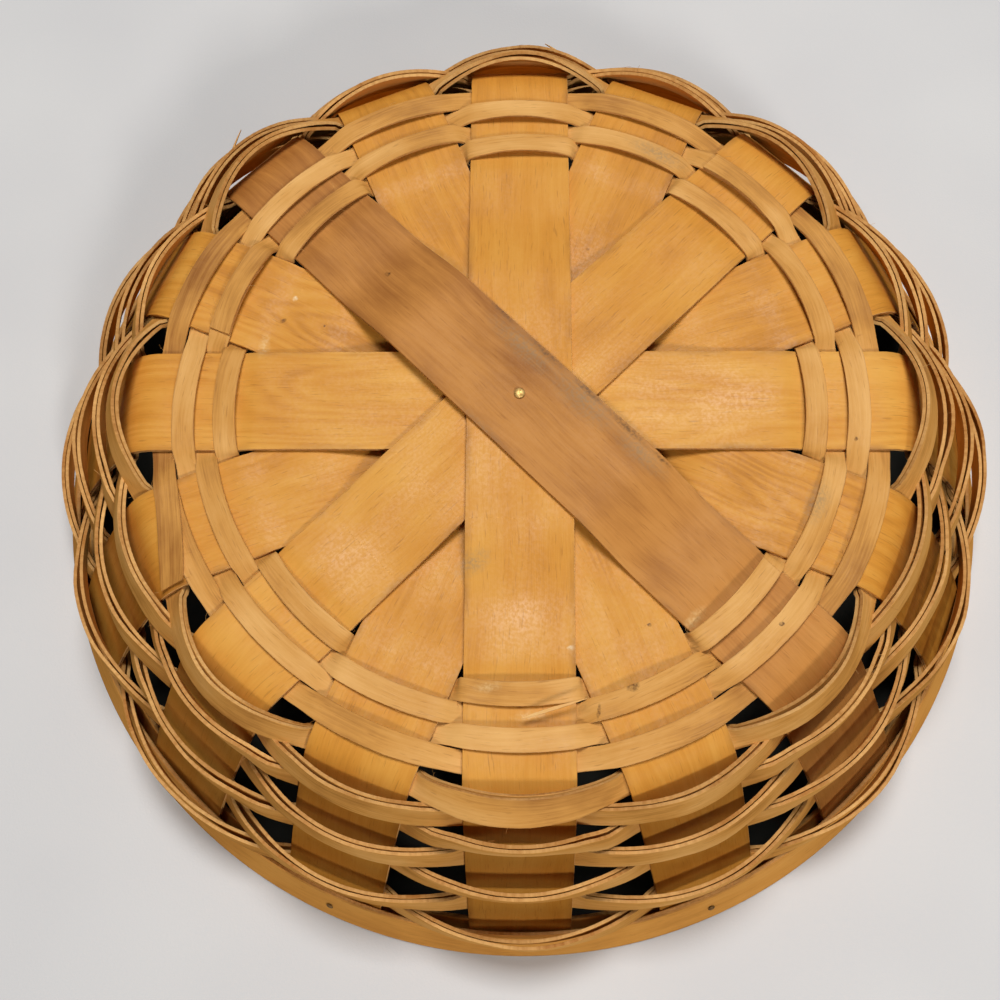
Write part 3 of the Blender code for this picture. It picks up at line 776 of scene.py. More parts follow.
def fibre_tree():
    """Geometry Nodes that add fine curled fibres to the cut edges of a ply, thinning to their tips."""
    tree = bpy.data.node_groups.new("Torn fibres", "GeometryNodeTree")
    face = tree.interface
    face.new_socket("Ply", in_out="INPUT", socket_type="NodeSocketGeometry")
    for name in ("Chance", "Length", "Radius"):
        face.new_socket(name, in_out="INPUT", socket_type="NodeSocketFloat")
    face.new_socket("Seed", in_out="INPUT", socket_type="NodeSocketInt")
    face.new_socket("Finish", in_out="INPUT", socket_type="NodeSocketMaterial")
    face.new_socket("Frayed ply", in_out="OUTPUT", socket_type="NodeSocketGeometry")
    given = add(tree, "NodeGroupInput").outputs
    edge = add(tree, "GeometryNodeInputNamedAttribute", {"Name": "edge"}, data_type="FLOAT")
    across = add(tree, "GeometryNodeInputNamedAttribute", {"Name": "across"}, data_type="FLOAT_VECTOR")
    outer = add(tree, "ShaderNodeMath", {0: edge.outputs[0]}, operation="ABSOLUTE")
    at_edge = {0: outer.outputs[0], 1: EDGE_SHARE}
    at_edge = add(tree, "FunctionNodeCompare", at_edge, operation="GREATER_EQUAL")
    picked = add(
        tree,
        "FunctionNodeRandomValue",
        {"Probability": given["Chance"], "Seed": given["Seed"]},
        data_type="BOOLEAN",
    )
    torn = {0: at_edge.outputs[0], 1: picked.outputs[3]}
    torn = add(tree, "FunctionNodeBooleanMath", torn, operation="AND")
    points = add(tree, "GeometryNodeMeshToPoints", {"Mesh": given["Ply"], "Selection": torn.outputs[0]})

    # One fibre a unit long, straight at its root and bending over toward its tip
    line = add(tree, "GeometryNodeCurvePrimitiveLine", {"Start": (0, 0, 0), "End": (0, 0, 1)})
    parts = add(tree, "GeometryNodeResampleCurve", {"Curve": line.outputs[0], "Count": FIBRE_PARTS})
    way = add(tree, "GeometryNodeSplineParameter").outputs["Factor"]
    curl = add(tree, "ShaderNodeMath", {0: way, 1: 2.0}, operation="POWER")
    aside = add(tree, "ShaderNodeCombineXYZ", {0: curl.outputs[0]})
    curled = add(tree, "GeometryNodeSetPosition", {"Geometry": parts.outputs[0], "Offset": aside.outputs[0]})
    thin = add(tree, "ShaderNodeMapRange", {0: way, 3: 1.0, 4: FIBRE_TIP})
    tapered = add(tree, "GeometryNodeSetCurveRadius", {"Curve": curled.outputs[0], "Radius": thin.outputs[0]})
    slender = add(tree, "ShaderNodeMath", {0: given["Radius"], 1: given["Length"]}, operation="DIVIDE")
    section = {"Resolution": FIBRE_SIDES, "Radius": slender.outputs[0]}
    ring = add(tree, "GeometryNodeCurvePrimitiveCircle", section)
    hair = add(
        tree,
        "GeometryNodeCurveToMesh",
        {"Curve": tapered.outputs[0], "Profile Curve": ring.outputs[0], "Fill Caps": True},
    )

    # It leans out from the edge that it grows on and strays every way, upward more than downward
    outward = {0: across.outputs[0], "Scale": edge.outputs[0]}
    sign = add(tree, "ShaderNodeVectorMath", outward, operation="SCALE")
    stray = add(
        tree,
        "FunctionNodeRandomValue",
        {0: (-1, -1, -0.4), 1: (1, 1, 1), "Seed": given["Seed"]},
        data_type="FLOAT_VECTOR",
    )
    lean = add(tree, "ShaderNodeVectorMath", {0: sign.outputs[0], 1: stray.outputs[0]}, operation="ADD")
    turn = add(tree, "FunctionNodeAlignRotationToVector", {"Vector": lean.outputs[0]}, axis="Z")
    shares = {2: FIBRE_SHORTEST, 3: 1.0, "Seed": given["Seed"]}
    length = add(tree, "FunctionNodeRandomValue", shares, data_type="FLOAT")
    size = add(tree, "ShaderNodeMath", {0: length.outputs[1], 1: given["Length"]}, operation="MULTIPLY")
    grown = add(
        tree,
        "GeometryNodeInstanceOnPoints",
        {
            "Points": points.outputs[0],
            "Instance": hair.outputs[0],
            "Rotation": turn.outputs[0],
            "Scale": size.outputs[0],
        },
    )
    whole = add(tree, "GeometryNodeRealizeInstances", {"Geometry": grown.outputs[0]}).outputs[0]
    finished = add(tree, "GeometryNodeSetMaterial", {"Geometry": whole, "Material": given["Finish"]})
    joined = add(tree, "GeometryNodeJoinGeometry", {"Geometry": finished.outputs[0]})
    tree.links.new(given["Ply"], joined.inputs[0])
    add(tree, "NodeGroupOutput", {"Frayed ply": joined.outputs[0]})
    return tree


def pin_mesh(name, radius, head, end, top, bottom, lift=0.0):
    """The skin of a pin turned round its Z axis: a domed head, a shank and a flattened end.

    The head and the end are a radius and a height each."""
    head_radius, head_height = head
    end_radius, end_height = end
    profile = [(head_radius * math.sin(turn), top + head_height * math.cos(turn)) for turn in DOME_TURNS]
    profile += [(head_radius, top), (radius, top), (radius, bottom), (end_radius, bottom)]
    profile += [(PIN_END_TAPER * end_radius, bottom - end_height)]
    verts = [(0.0, 0.0, lift + top + head_height)]
    for out, height in profile:
        for side in range(PIN_SIDES):
            turn = side / PIN_SIDES * math.tau
            verts.append((out * math.cos(turn), out * math.sin(turn), lift + height))
    verts.append((0.0, 0.0, lift + bottom - end_height))
    faces = []
    last = len(verts) - 1
    for side in range(PIN_SIDES):
        after = (side + 1) % PIN_SIDES
        faces.append((0, 1 + side, 1 + after))
        for ring in range(len(profile) - 1):
            upper, lower = 1 + ring * PIN_SIDES, 1 + (ring + 1) * PIN_SIDES
            faces.append((upper + side, lower + side, lower + after, upper + after))
        foot = last - PIN_SIDES
        faces.append((foot + side, last, foot + after))
    mesh = bpy.data.meshes.new(name)
    mesh.from_pydata(verts, [], faces)
    return mesh


def brad_tree():
    """Geometry Nodes that repeat one brad round the rim, its Z axis square to the slope of the wall."""
    tree = bpy.data.node_groups.new("Brads round a rim", "GeometryNodeTree")
    face = tree.interface
    face.new_socket("Brad", in_out="INPUT", socket_type="NodeSocketGeometry")
    face.new_socket("Number", in_out="INPUT", socket_type="NodeSocketInt")
    for name in ("Radius", "Height", "First turn", "Slope"):
        face.new_socket(name, in_out="INPUT", socket_type="NodeSocketFloat")
    face.new_socket("Finish", in_out="INPUT", socket_type="NodeSocketMaterial")
    face.new_socket("Brads", in_out="OUTPUT", socket_type="NodeSocketGeometry")
    given = add(tree, "NodeGroupInput").outputs
    circle = add(tree, "GeometryNodeMeshCircle", {"Vertices": given["Number"], "Radius": given["Radius"]})
    here = add(tree, "GeometryNodeInputPosition").outputs[0]
    turned = add(
        tree, "ShaderNodeVectorRotate", {"Vector": here, "Angle": given["First turn"]}, rotation_type="Z_AXIS"
    )
    first = {"Geometry": circle.outputs[0], "Position": turned.outputs[0]}
    placed = add(tree, "GeometryNodeSetPosition", first)
    level = add(tree, "ShaderNodeVectorMath", {0: here, 1: (1, 1, 0)}, operation="MULTIPLY")
    radial = add(tree, "ShaderNodeVectorMath", {0: level.outputs[0]}, operation="NORMALIZE")
    outward = add(tree, "ShaderNodeMath", {0: given["Slope"]}, operation="SINE")
    upward = add(tree, "ShaderNodeMath", {0: given["Slope"]}, operation="COSINE")
    leaning = add(
        tree, "ShaderNodeVectorMath", {0: radial.outputs[0], "Scale": outward.outputs[0]}, operation="SCALE"
    )
    upright = add(tree, "ShaderNodeCombineXYZ", {2: upward.outputs[0]})
    way = add(tree, "ShaderNodeVectorMath", {0: leaning.outputs[0], 1: upright.outputs[0]}, operation="ADD")
    turn = add(tree, "FunctionNodeAlignRotationToVector", {"Vector": way.outputs[0]}, axis="Z")
    lift = add(tree, "ShaderNodeCombineXYZ", {2: given["Height"]})
    raised = add(tree, "GeometryNodeSetPosition", {"Geometry": placed.outputs[0], "Offset": lift.outputs[0]})
    driven = add(
        tree,
        "GeometryNodeInstanceOnPoints",
        {"Points": raised.outputs[0], "Instance": given["Brad"], "Rotation": turn.outputs[0]},
    )
    whole = add(tree, "GeometryNodeRealizeInstances", {"Geometry": driven.outputs[0]}).outputs[0]
    finished = add(tree, "GeometryNodeSetMaterial", {"Geometry": whole, "Material": given["Finish"]})
    add(tree, "NodeGroupOutput", {"Brads": finished.outputs[0]})
    return tree


def use_tree(maker, label, tree, inputs):
    """Puts a tree on an object, with its inputs set by their identifiers."""
    shape = maker.modifiers.new(label, "NODES")
    shape.node_group = tree
    sockets = {item.name: item.identifier for item in tree.interface.items_tree if item.in_out == "INPUT"}
    for name, value in inputs.items():
        shape[sockets[name]] = value


def run_tree(name, mesh, tree, inputs, rounding=0.0, fibres=None):
    """A plain mesh object from a mesh and a tree. Fibres, if any, are a second tree and its inputs."""
    maker = bpy.data.objects.new(name, mesh)
    bpy.context.scene.collection.objects.link(maker)
    use_tree(maker, "Form", tree, inputs)
    if rounding:
        bevel = maker.modifiers.new("Eased edges", "BEVEL")
        bevel.width = rounding
        bevel.segments = 1
        bevel.limit_method = "ANGLE"
        bevel.angle_limit = EASED_ANGLE
    if fibres:
        use_tree(maker, "Fibres", *fibres)
    bpy.context.view_layer.update()
    graph = bpy.context.evaluated_depsgraph_get()
    plain = bpy.data.meshes.new_from_object(maker.evaluated_get(graph))
    bpy.data.objects.remove(maker)
    piece = bpy.data.objects.new(name, plain)
    bpy.context.scene.collection.objects.link(piece)
    plain.shade_smooth()
    plain.set_sharp_from_angle(angle=SHARP_ANGLE)
    return piece


def place(piece, slot, *nodes):
    """A finished piece rides with the basket and stands for its solids."""
    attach(piece, "root")
    if nodes:
        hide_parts(*nodes)


def spots(tree, where, marks, strength, soft):
    """How strongly a list of ovals shows here: the strength inside any of them, fading out at its edge."""
    shown = 0.0
    for x, y, turn, length, width in marks:
        own = add(
            tree,
            "ShaderNodeMapping",
            {
                "Vector": where,
                "Location": (x * MM, y * MM, 0.0),
                "Rotation": (0.0, 0.0, math.radians(turn)),
                "Scale": (length / 2 * MM, width / 2 * MM, 1.0),
            },
            vector_type="TEXTURE",
        )
        out = add(tree, "ShaderNodeVectorMath", {0: own.outputs[0]}, operation="LENGTH")
        faded = {0: out.outputs["Value"], 1: 1 - soft, 2: 1.0, 3: strength, 4: 0.0}
        inside = add(tree, "ShaderNodeMapRange", faded)
        shown = add(tree, "ShaderNodeMath", {0: inside.outputs[0], 1: shown}, operation="MAXIMUM").outputs[0]
    return shown


def grain_pattern(tree, where, pattern):
    """One pattern of the wood, which falls differently on each strip."""
    along, across, own, detail = pattern
    scale = (1 / along, 1 / across, own)
    stretched = add(tree, "ShaderNodeMapping", {"Vector": where, "Scale": scale}).outputs[0]
    return add(tree, "ShaderNodeTexNoise", {"Vector": stretched, "Scale": 1.0, "Detail": detail}).outputs


def bare_wood(tree, grain, wandered, streaks, fibres, depth, hues):
    """The wood's own colour: one number for its depth, from the strip's tone, bands, streaks and fibres, soft
    clouds where the varnish has darkened, and the growth figure."""
    tone = add(tree, "ShaderNodeAttribute", attribute_name="tone").outputs["Fac"]
    figure = add(tree, "ShaderNodeAttribute", attribute_name="figure").outputs["Fac"]
    bands = grain_pattern(tree, wandered, BANDS)[0]
    darkened = grain_pattern(tree, grain, VARNISH_CLOUDS)[0]

    # Growth figure: rings of one slow field, as a peeling knife cuts them
    field = grain_pattern(tree, wandered, FIGURE_FIELD)[0]
    turns = add(tree, "ShaderNodeMath", {0: field, 1: RING_TURNS}, operation="MULTIPLY")
    rings = add(tree, "ShaderNodeMath", {0: turns.outputs[0]}, operation="SINE")
    rings = add(tree, "ShaderNodeMapRange", {0: rings.outputs[0], 1: -1.0, 2: 1.0, 3: -0.5, 4: 0.5})
    rings = add(tree, "ShaderNodeMath", {0: rings.outputs[0], 1: figure}, operation="MULTIPLY").outputs[0]

    total = tone
    for part, weight in (
        (bands, 0.34 * depth),
        (streaks, 0.16 * depth),
        (fibres, 0.24 * depth),
        (darkened, 0.70 * depth),
        (rings, 0.18),
    ):
        weighed = {0: part, 1: weight, 2: total}
        total = add(tree, "ShaderNodeMath", weighed, operation="MULTIPLY_ADD").outputs[0]

    # The noises lie about one half, so half of their weights comes off again
    total = add(tree, "ShaderNodeMath", {0: total, 1: 0.72 * depth}, operation="SUBTRACT").outputs[0]
    stops = [(stop, colour(hue)) for stop, hue in zip((0.0, 0.5, 1.0), hues)]
    return add(tree, "ShaderNodeValToRGB", {"Fac": total}, stops=stops).outputs[0]


def old_marks(tree, here, flakes, clouds, smudges):
    """Knots and dirt, dried glue and grey wear: how strongly each shows here, and its colour."""
    layers = []
    for marks, shade, strength, soft in (
        (clouds, "#8E7C60", 0.6, 0.95),
        (smudges, "#4E3A26", 0.75, 0.9),
        (WORN_PLACES, "#EBC88C", 0.6, 0.9),
        (PALE_MARKS, "#F2D9AC", 0.9, 0.7),
        (DARK_MARKS, "#4A2C12", 0.85, 0.45),
    ):
        shown = spots(tree, here, marks, strength, soft)
        broken = add(tree, "ShaderNodeMath", {0: shown, 1: flakes}, operation="MULTIPLY")
        layers.append((broken.outputs[0], shade))
    return layers


def edge_grime(tree, patches):
    """Handling has darkened a narrow line along the edges of each strip, here and there."""
    edge = add(tree, "ShaderNodeAttribute", attribute_name="edge").outputs["Fac"]
    ends = add(tree, "ShaderNodeMath", {0: edge}, operation="ABSOLUTE")
    close = add(tree, "ShaderNodeMapRange", {0: ends.outputs[0], 1: 0.86, 2: 1.0, 3: 0.0, 4: 0.9})
    spread = add(tree, "ShaderNodeMapRange", {0: patches, 1: 0.42, 2: 0.72, 3: 0.0, 4: 0.75})
    grime = {0: close.outputs[0], 1: spread.outputs[0]}
    return add(tree, "ShaderNodeMath", grime, operation="MULTIPLY").outputs[0]


def old_varnish(tree, here, upward, patches, flakes, polish):
    """The flat of the base has kept its varnish in patches, and the sides are dull."""
    flat = add(tree, "ShaderNodeMapRange", {0: upward, 1: 0.86, 2: 0.99, 3: 0.0, 4: polish})
    kept = add(tree, "ShaderNodeMapRange", {0: patches, 1: 0.36, 2: 0.62, 3: 0.35, 4: 1.0})
    glossy = spots(tree, here, GLOSSY_PLACES, GLOSS if polish > LEAST_POLISH else 0.0, 0.9)
    most = add(tree, "ShaderNodeMath", {0: flat.outputs[0], 1: glossy}, operation="ADD")
    patchy = add(tree, "ShaderNodeMath", {0: most.outputs[0], 1: kept.outputs[0]}, operation="MULTIPLY")
    flaked = {0: patchy.outputs[0], 1: flakes}
    return add(tree, "ShaderNodeMath", flaked, operation="MULTIPLY").outputs[0]


def wood(name, hues, depth, polish, painted_side_shade, clouds=GREY_CLOUDS, smudges=()):
    """Thin peeled wood under an old clear varnish. It gives the eye fine streaks along the grain, broader
    bands, growth figure where the knife ran slant, and a soft broken shine.

    The hues go from pale to brown. The depth is how much the colour varies, the polish how much varnish the
    wood has kept on the flat, and the painted side shade how strongly shade is painted into the low wood of
    its sides."""
    material = bpy.data.materials.new(name)
    material.use_nodes = True
    tree = material.node_tree
    shader = tree.nodes["Principled BSDF"]
    grain = add(tree, "ShaderNodeAttribute", attribute_name="grain").outputs["Vector"]
    where = add(tree, "ShaderNodeTexCoord").outputs["Object"]
    up = add(tree, "ShaderNodeNewGeometry").outputs["Normal"]
    upward = add(tree, "ShaderNodeSeparateXYZ", {0: up}).outputs["Z"]

    # The grain wanders a few millimetres from side to side
    aside = {0: grain_pattern(tree, grain, WANDER)["Color"], 1: (0.0, GRAIN_SWAY, 0.0)}
    sway = add(tree, "ShaderNodeVectorMath", aside, operation="MULTIPLY")
    wandered = add(tree, "ShaderNodeVectorMath", {0: grain, 1: sway.outputs[0]}, operation="ADD").outputs[0]
    streaks = grain_pattern(tree, wandered, STREAKS)[0]
    fibres = grain_pattern(tree, wandered, FIBRES)[0]
    patches = grain_pattern(tree, grain, WORN_PATCHES)[0]

    # Outlines are crooked, and what lies on the wood has flaked
    crooked = {"Vector": where, "Scale": 1 / MARK_CROOK_SIZE, "Detail": 2.0}
    crooked = add(tree, "ShaderNodeTexNoise", crooked).outputs["Color"]
    bent = add(tree, "ShaderNodeVectorMath", {0: crooked, "Scale": MARK_CROOK}, operation="SCALE")
    here = add(tree, "ShaderNodeVectorMath", {0: where, 1: bent.outputs[0]}, operation="ADD").outputs[0]
    flaky = add(tree, "ShaderNodeTexNoise", {"Vector": where, "Scale": 1 / FLAKE_SIZE, "Detail": 3.0})
    flakes = {0: flaky.outputs[0], 1: 0.40, 2: 0.62, 3: 0.35, 4: 1.0}
    flakes = add(tree, "ShaderNodeMapRange", flakes).outputs[0]

    # Pores as short dark dashes, 5 mm long and drawn 0.4 mm wide so that they show
    pores = grain_pattern(tree, wandered, PORES)[0]
    dashes = add(tree, "ShaderNodeMapRange", {0: pores, 1: 0.64, 2: 0.76, 3: 0.0, 4: 0.35})

    # Painted shade: below the height of the base the wood of the sides is darkened toward brown, for the
    # shade that falls there
    height = add(tree, "ShaderNodeSeparateXYZ", {0: where}).outputs["Z"]
    low = add(tree, "ShaderNodeMapRange", {0: height, 1: PAINTED_SHADE_FULL, 2: PAINTED_SHADE_NONE, 3: painted_side_shade, 4: 0.0})

    # Pores, marks, grime and the painted shade of the sides lie over the bare wood, one on another
    aged = bare_wood(tree, grain, wandered, streaks, fibres, depth, hues)
    for share, shade in (
        (dashes.outputs[0], "#8A5526"),
        *old_marks(tree, here, flakes, clouds, smudges),
        (edge_grime(tree, patches), "#7E4E24"),
        # Painted shade over the low wood of the sides
        (low.outputs[0], "#6B3A10"),
    ):
        laid = {"Factor": share, "A": aged, "B": colour(shade)}
        aged = add(tree, "ShaderNodeMix", laid, data_type="RGBA").outputs[2]

    dull = add(tree, "ShaderNodeMapRange", {0: upward, 1: 0.5, 2: 0.95, 3: 0.0, 4: 0.12})
    shine = add(tree, "ShaderNodeMapRange", {0: streaks, 1: 0.3, 2: 0.7, 3: 0.50, 4: 0.62})
    relief = add(tree, "ShaderNodeMath", {0: fibres, 1: 0.6, 2: patches}, operation="MULTIPLY_ADD")
    bump = {"Height": relief.outputs[0], "Strength": 0.6, "Distance": WOOD_RELIEF}
    bump = add(tree, "ShaderNodeBump", bump).outputs[0]
    varnish = old_varnish(tree, here, upward, patches, flakes, polish)
    tree.links.new(aged, shader.inputs["Base Color"])
    tree.links.new(shine.outputs[0], shader.inputs["Roughness"])
    tree.links.new(dull.outputs[0], shader.inputs["Specular IOR Level"])
    tree.links.new(varnish, shader.inputs["Coat Weight"])
    tree.links.new(bump, shader.inputs["Normal"])
    tree.links.new(bump, shader.inputs["Coat Normal"])
    shader.inputs["IOR"].default_value = 1.5
    shader.inputs["Coat Roughness"].default_value = 0.36
    return material


def cut_edge(name, light, dark):
    """The sawn or torn edge of a strip: pale open fibres that the varnish has only partly filled."""
    material = bpy.data.materials.new(name)
    material.use_nodes = True
    tree = material.node_tree
    shader = tree.nodes["Principled BSDF"]
    grain = add(tree, "ShaderNodeAttribute", attribute_name="grain").outputs["Vector"]
    fibres = grain_pattern(tree, grain, CUT_FIBRES)[0]
    patches = grain_pattern(tree, grain, CUT_PATCHES)[0]
    both = add(tree, "ShaderNodeMath", {0: fibres, 1: 0.5, 2: patches}, operation="MULTIPLY_ADD")
    shades = add(
        tree,
        "ShaderNodeValToRGB",
        {"Fac": both.outputs[0]},
        stops=((0.45, colour(light)), (1.0, colour(dark))),
    )
    bump = add(tree, "ShaderNodeBump", {"Height": fibres, "Strength": 0.9, "Distance": CUT_RELIEF})
    tree.links.new(shades.outputs[0], shader.inputs["Base Color"])
    tree.links.new(bump.outputs[0], shader.inputs["Normal"])
    shader.inputs["Roughness"].default_value = 0.72
    shader.inputs["Specular IOR Level"].default_value = 0.15
    return material


def drawn_metal(name, bright, dull, roughness):
    """Drawn wire with a stamped head. It gives the eye small bright highlights between patches of tarnish."""
    material = bpy.data.materials.new(name)
    material.use_nodes = True
    tree = material.node_tree
    shader = tree.nodes["Principled BSDF"]
    where = add(tree, "ShaderNodeTexCoord").outputs["Object"]
    stain = add(tree, "ShaderNodeTexNoise", {"Vector": where, "Scale": 1 / TARNISH_SIZE, "Detail": 3.0})
    shades = add(
        tree,
        "ShaderNodeValToRGB",
        {"Fac": stain.outputs[0]},
        stops=((0.35, colour(bright)), (0.7, colour(dull))),
    )
    worn = {0: stain.outputs[0], 1: 0.3, 2: 0.7, 3: roughness, 4: roughness + 0.25}
    worn = add(tree, "ShaderNodeMapRange", worn)
    tree.links.new(shades.outputs[0], shader.inputs["Base Color"])
    tree.links.new(worn.outputs[0], shader.inputs["Roughness"])
    shader.inputs["Metallic"].default_value = 1.0
    return material


def seen_rays(tree):
    """1 where the eye looks, straight or by way of varnish and metal, and 0 where light is gathered."""
    path = add(tree, "ShaderNodeLightPath").outputs
    seen = path["Is Camera Ray"]
    for kind in ("Is Glossy Ray", "Is Transmission Ray"):
        seen = add(tree, "ShaderNodeMath", {0: seen, 1: path[kind]}, operation="MAXIMUM").outputs[0]
    return seen


def cloth_ground(name):
    """Plain pale cotton sheet: nearly white, with a fine even weave that only breaks up the shadow. Under the
    basket it is painted nearly black, as painted shade. Far from the basket it turns into the pale wall."""
    material = bpy.data.materials.new(name)
    material.use_nodes = True
    tree = material.node_tree
    shader = tree.nodes["Principled BSDF"]
    where = add(tree, "ShaderNodeTexCoord").outputs["Object"]
    soft = add(tree, "ShaderNodeTexNoise", {"Vector": where, "Scale": 1 / SHEET_SHADE_SIZE, "Detail": 2.0})
    weave = add(tree, "ShaderNodeTexNoise", {"Vector": where, "Scale": 1 / SHEET_THREAD, "Detail": 2.0})
    shades = add(
        tree,
        "ShaderNodeValToRGB",
        {"Fac": soft.outputs[0]},
        stops=((0.3, colour("#D5D6D9")), (0.7, colour("#DCDDDF"))),
    )
    # Painted shade: the sheet under the basket is painted nearly black, so that the gaps between the strips
    # show dark
    out = add(tree, "ShaderNodeVectorMath", {0: where}, operation="LENGTH")
    under = {0: out.outputs["Value"], 1: PAINTED_SHADE_SHARE * RIM_RADIUS, 2: RIM_RADIUS}
    under = add(tree, "ShaderNodeMapRange", under)
    painted_shade_under = add(
        tree,
        "ShaderNodeMix",
        {"Factor": under.outputs[0], "A": colour("#23241F"), "B": shades.outputs[0]},
        data_type="RGBA",
    )
    bump = {"Height": weave.outputs[0], "Strength": 0.25, "Distance": SHEET_RELIEF}
    bump = add(tree, "ShaderNodeBump", bump)
    tree.links.new(painted_shade_under.outputs[2], shader.inputs["Base Color"])
    tree.links.new(bump.outputs[0], shader.inputs["Normal"])
    shader.inputs["Roughness"].default_value = 0.9
    away = add(tree, "ShaderNodeMapRange", {0: out.outputs["Value"], 1: SHEET_NEAR, 2: SHEET_FAR})
    share = add(tree, "ShaderNodeMath", {0: away.outputs[0], 1: seen_rays(tree)}, operation="MULTIPLY")
    wall = add(tree, "ShaderNodeEmission", {"Color": colour(PALE_WALL), "Strength": 1.0})
    both = add(tree, "ShaderNodeMixShader", {0: share.outputs[0], 1: shader.outputs[0], 2: wall.outputs[0]})
    tree.links.new(both.outputs[0], tree.nodes["Material Output"].inputs["Surface"])
    return material


def ply_inputs(gap, thickness, face, edge, waviness=0.0, roughness=CUT_ROUGHNESS, parting=0.0, inner=False):
    """What the ply tree needs: how far from the middle surface the ply starts and how thick it is, its two
    finishes, how much it waves, how ragged its edges are and how far it parts, and the side that it is on."""
    return {
        "Gap": gap,
        "Parting": parting,
        "Thickness": thickness,
        "Waviness": waviness,
        "Cut roughness": roughness,
        "Inner side": inner,
        "Face finish": face,
        "Edge finish": edge,
    }


def fibre_inputs(finishes, seed):
    """What the fibre tree needs. The seed is the strip's own."""
    return {
        "Chance": FIBRE_CHANCE,
        "Length": FIBRE_LENGTH,
        "Radius": FIBRE_RADIUS,
        "Seed": seed,
        "Finish": finishes["cut edge"],
    }


def make_splints(tree, finishes):
    """Splints laid across one another, two plies each, with the top one in a wood of its own."""
    for layer, (near_tone, far_tone, figure) in enumerate(SPLINT_LOOKS):
        number = layer + 1
        tones = (near_tone, far_tone)
        face = finishes["top splint" if layer == 0 else "splint"]
        pairs = splint_stations(layer)
        for side, inner in (("outer", False), ("inner", True)):
            name = f"splint_{number}_{side}"
            seed = SPLINT_GRAIN * number + (INNER_SPLINT_GRAIN if inner else 0.0)
            surface = strip_surface(name + "_middle", pairs, SPLINT_COLUMNS, seed, tones, figure)
            inputs = ply_inputs(
                PLY_GAP / 2, SPLINT_PLY, face, finishes["cut edge"], waviness=SPLINT_WAVINESS, inner=inner
            )
            piece = run_tree("wood_" + name, surface, tree, inputs, EDGE_ROUNDING)
            place(piece, "top_splint_wood" if layer == 0 else "splint_wood", name)


def make_base_weavers(tree, fibres, finishes):
    """Single weavers on the flat of the base."""
    inputs = ply_inputs(
        -BASE_WEAVER_THICKNESS / 2,
        BASE_WEAVER_THICKNESS,
        finishes["weaver"],
        finishes["cut edge"],
        waviness=WEAVER_WAVINESS,
        roughness=WEAVER_CUT_ROUGHNESS,
    )
    for row, tones in enumerate(BASE_WEAVER_TONES):
        name = f"base_weaver_{row + 1}"
        lines = [smooth_line(list(edge), BASE_LINE_PARTS) for edge in zip(*base_row_stations(row))]
        pairs = list(zip(*lines))
        seed = BASE_WEAVER_GRAIN + BASE_GRAIN_STEP * row
        surface = strip_surface(name + "_middle", pairs, WEAVER_COLUMNS, seed, tones, WEAVER_FIGURE)
        torn = (fibres, fibre_inputs(finishes, BASE_FIBRE_SEED + row))
        place(run_tree("wood_" + name, surface, tree, inputs, EDGE_ROUNDING, torn), "weaver_wood", name)


def make_side_weavers(tree, fibres, finishes):
    """Doubled weavers round the side. The rows nearer the base are frayed."""
    for side_row in range(SIDE_ROWS):
        joint = SIDE_FIRST_JOINT + SIDE_JOINT_STEP * side_row
        torn = None
        if side_row < FRAYED_SIDE_ROWS:
            torn = (fibres, fibre_inputs(finishes, SIDE_FIBRE_SEED + side_row))
        for side, inner, first in (("outer", False, joint), ("inner", True, joint + STAKES // 2)):
            name = f"side_weaver_{side_row + 1}_{side}"
            stations = side_row_stations(side_row, first, side)
            lines = [smooth_line(list(edge), SIDE_LINE_PARTS) for edge in zip(*stations)]
            pairs = list(zip(*lines))
            seed = SIDE_WEAVER_GRAIN + SIDE_GRAIN_STEP * side_row + (INNER_WEAVER_GRAIN if inner else 0.0)
            surface = strip_surface(
                name + "_middle", pairs, WEAVER_COLUMNS, seed, SIDE_WEAVER_TONES, WEAVER_FIGURE
            )
            inputs = ply_inputs(
                SIDE_PLY_GAP / 2,
                SIDE_WEAVER_PLY,
                finishes["weaver"],
                finishes["cut edge"],
                waviness=WEAVER_WAVINESS,
                roughness=WEAVER_CUT_ROUGHNESS,
                parting=0.0 if inner else PLY_PARTING,
                inner=inner,
            )
            place(run_tree("wood_" + name, surface, tree, inputs, EDGE_ROUNDING, torn), "weaver_wood", name)


def make_slivers(tree, finishes):
    """Long splinters that have sprung up from the weavers, pointed at both ends."""
    inputs = ply_inputs(
        -SLIVER_THICKNESS / 2,
        SLIVER_THICKNESS,
        finishes["weaver"],
        finishes["cut edge"],
        waviness=WEAVER_WAVINESS,
    )
    for number, (start, end, width) in enumerate(SLIVERS, 1):
        start, end = Vector(start) * MM, Vector(end) * MM
        side = (end - start).cross(Vector((0, 0, 1))).normalized() * width / 2 * MM
        pairs = []
        for step in range(SLIVER_STEPS + 1):
            share = step / SLIVER_STEPS
            swell = math.sin(math.pi * share ** SLIVER_TAPER_POWER)
            half = side * (SLIVER_TIP + (1 - SLIVER_TIP) * swell)
            bow = Vector((0, 0, SLIVER_BOW * math.sin(math.pi * share)))
            middle = start.lerp(end, share) + bow
            pairs.append([middle - half, middle + half])
        seed = SLIVER_GRAIN + number
        surface = strip_surface(f"sliver_{number}_middle", pairs, SLIVER_COLUMNS, seed, SLIVER_TONES)
        place(run_tree(f"sliver_{number}", surface, tree, inputs), "weaver_wood")


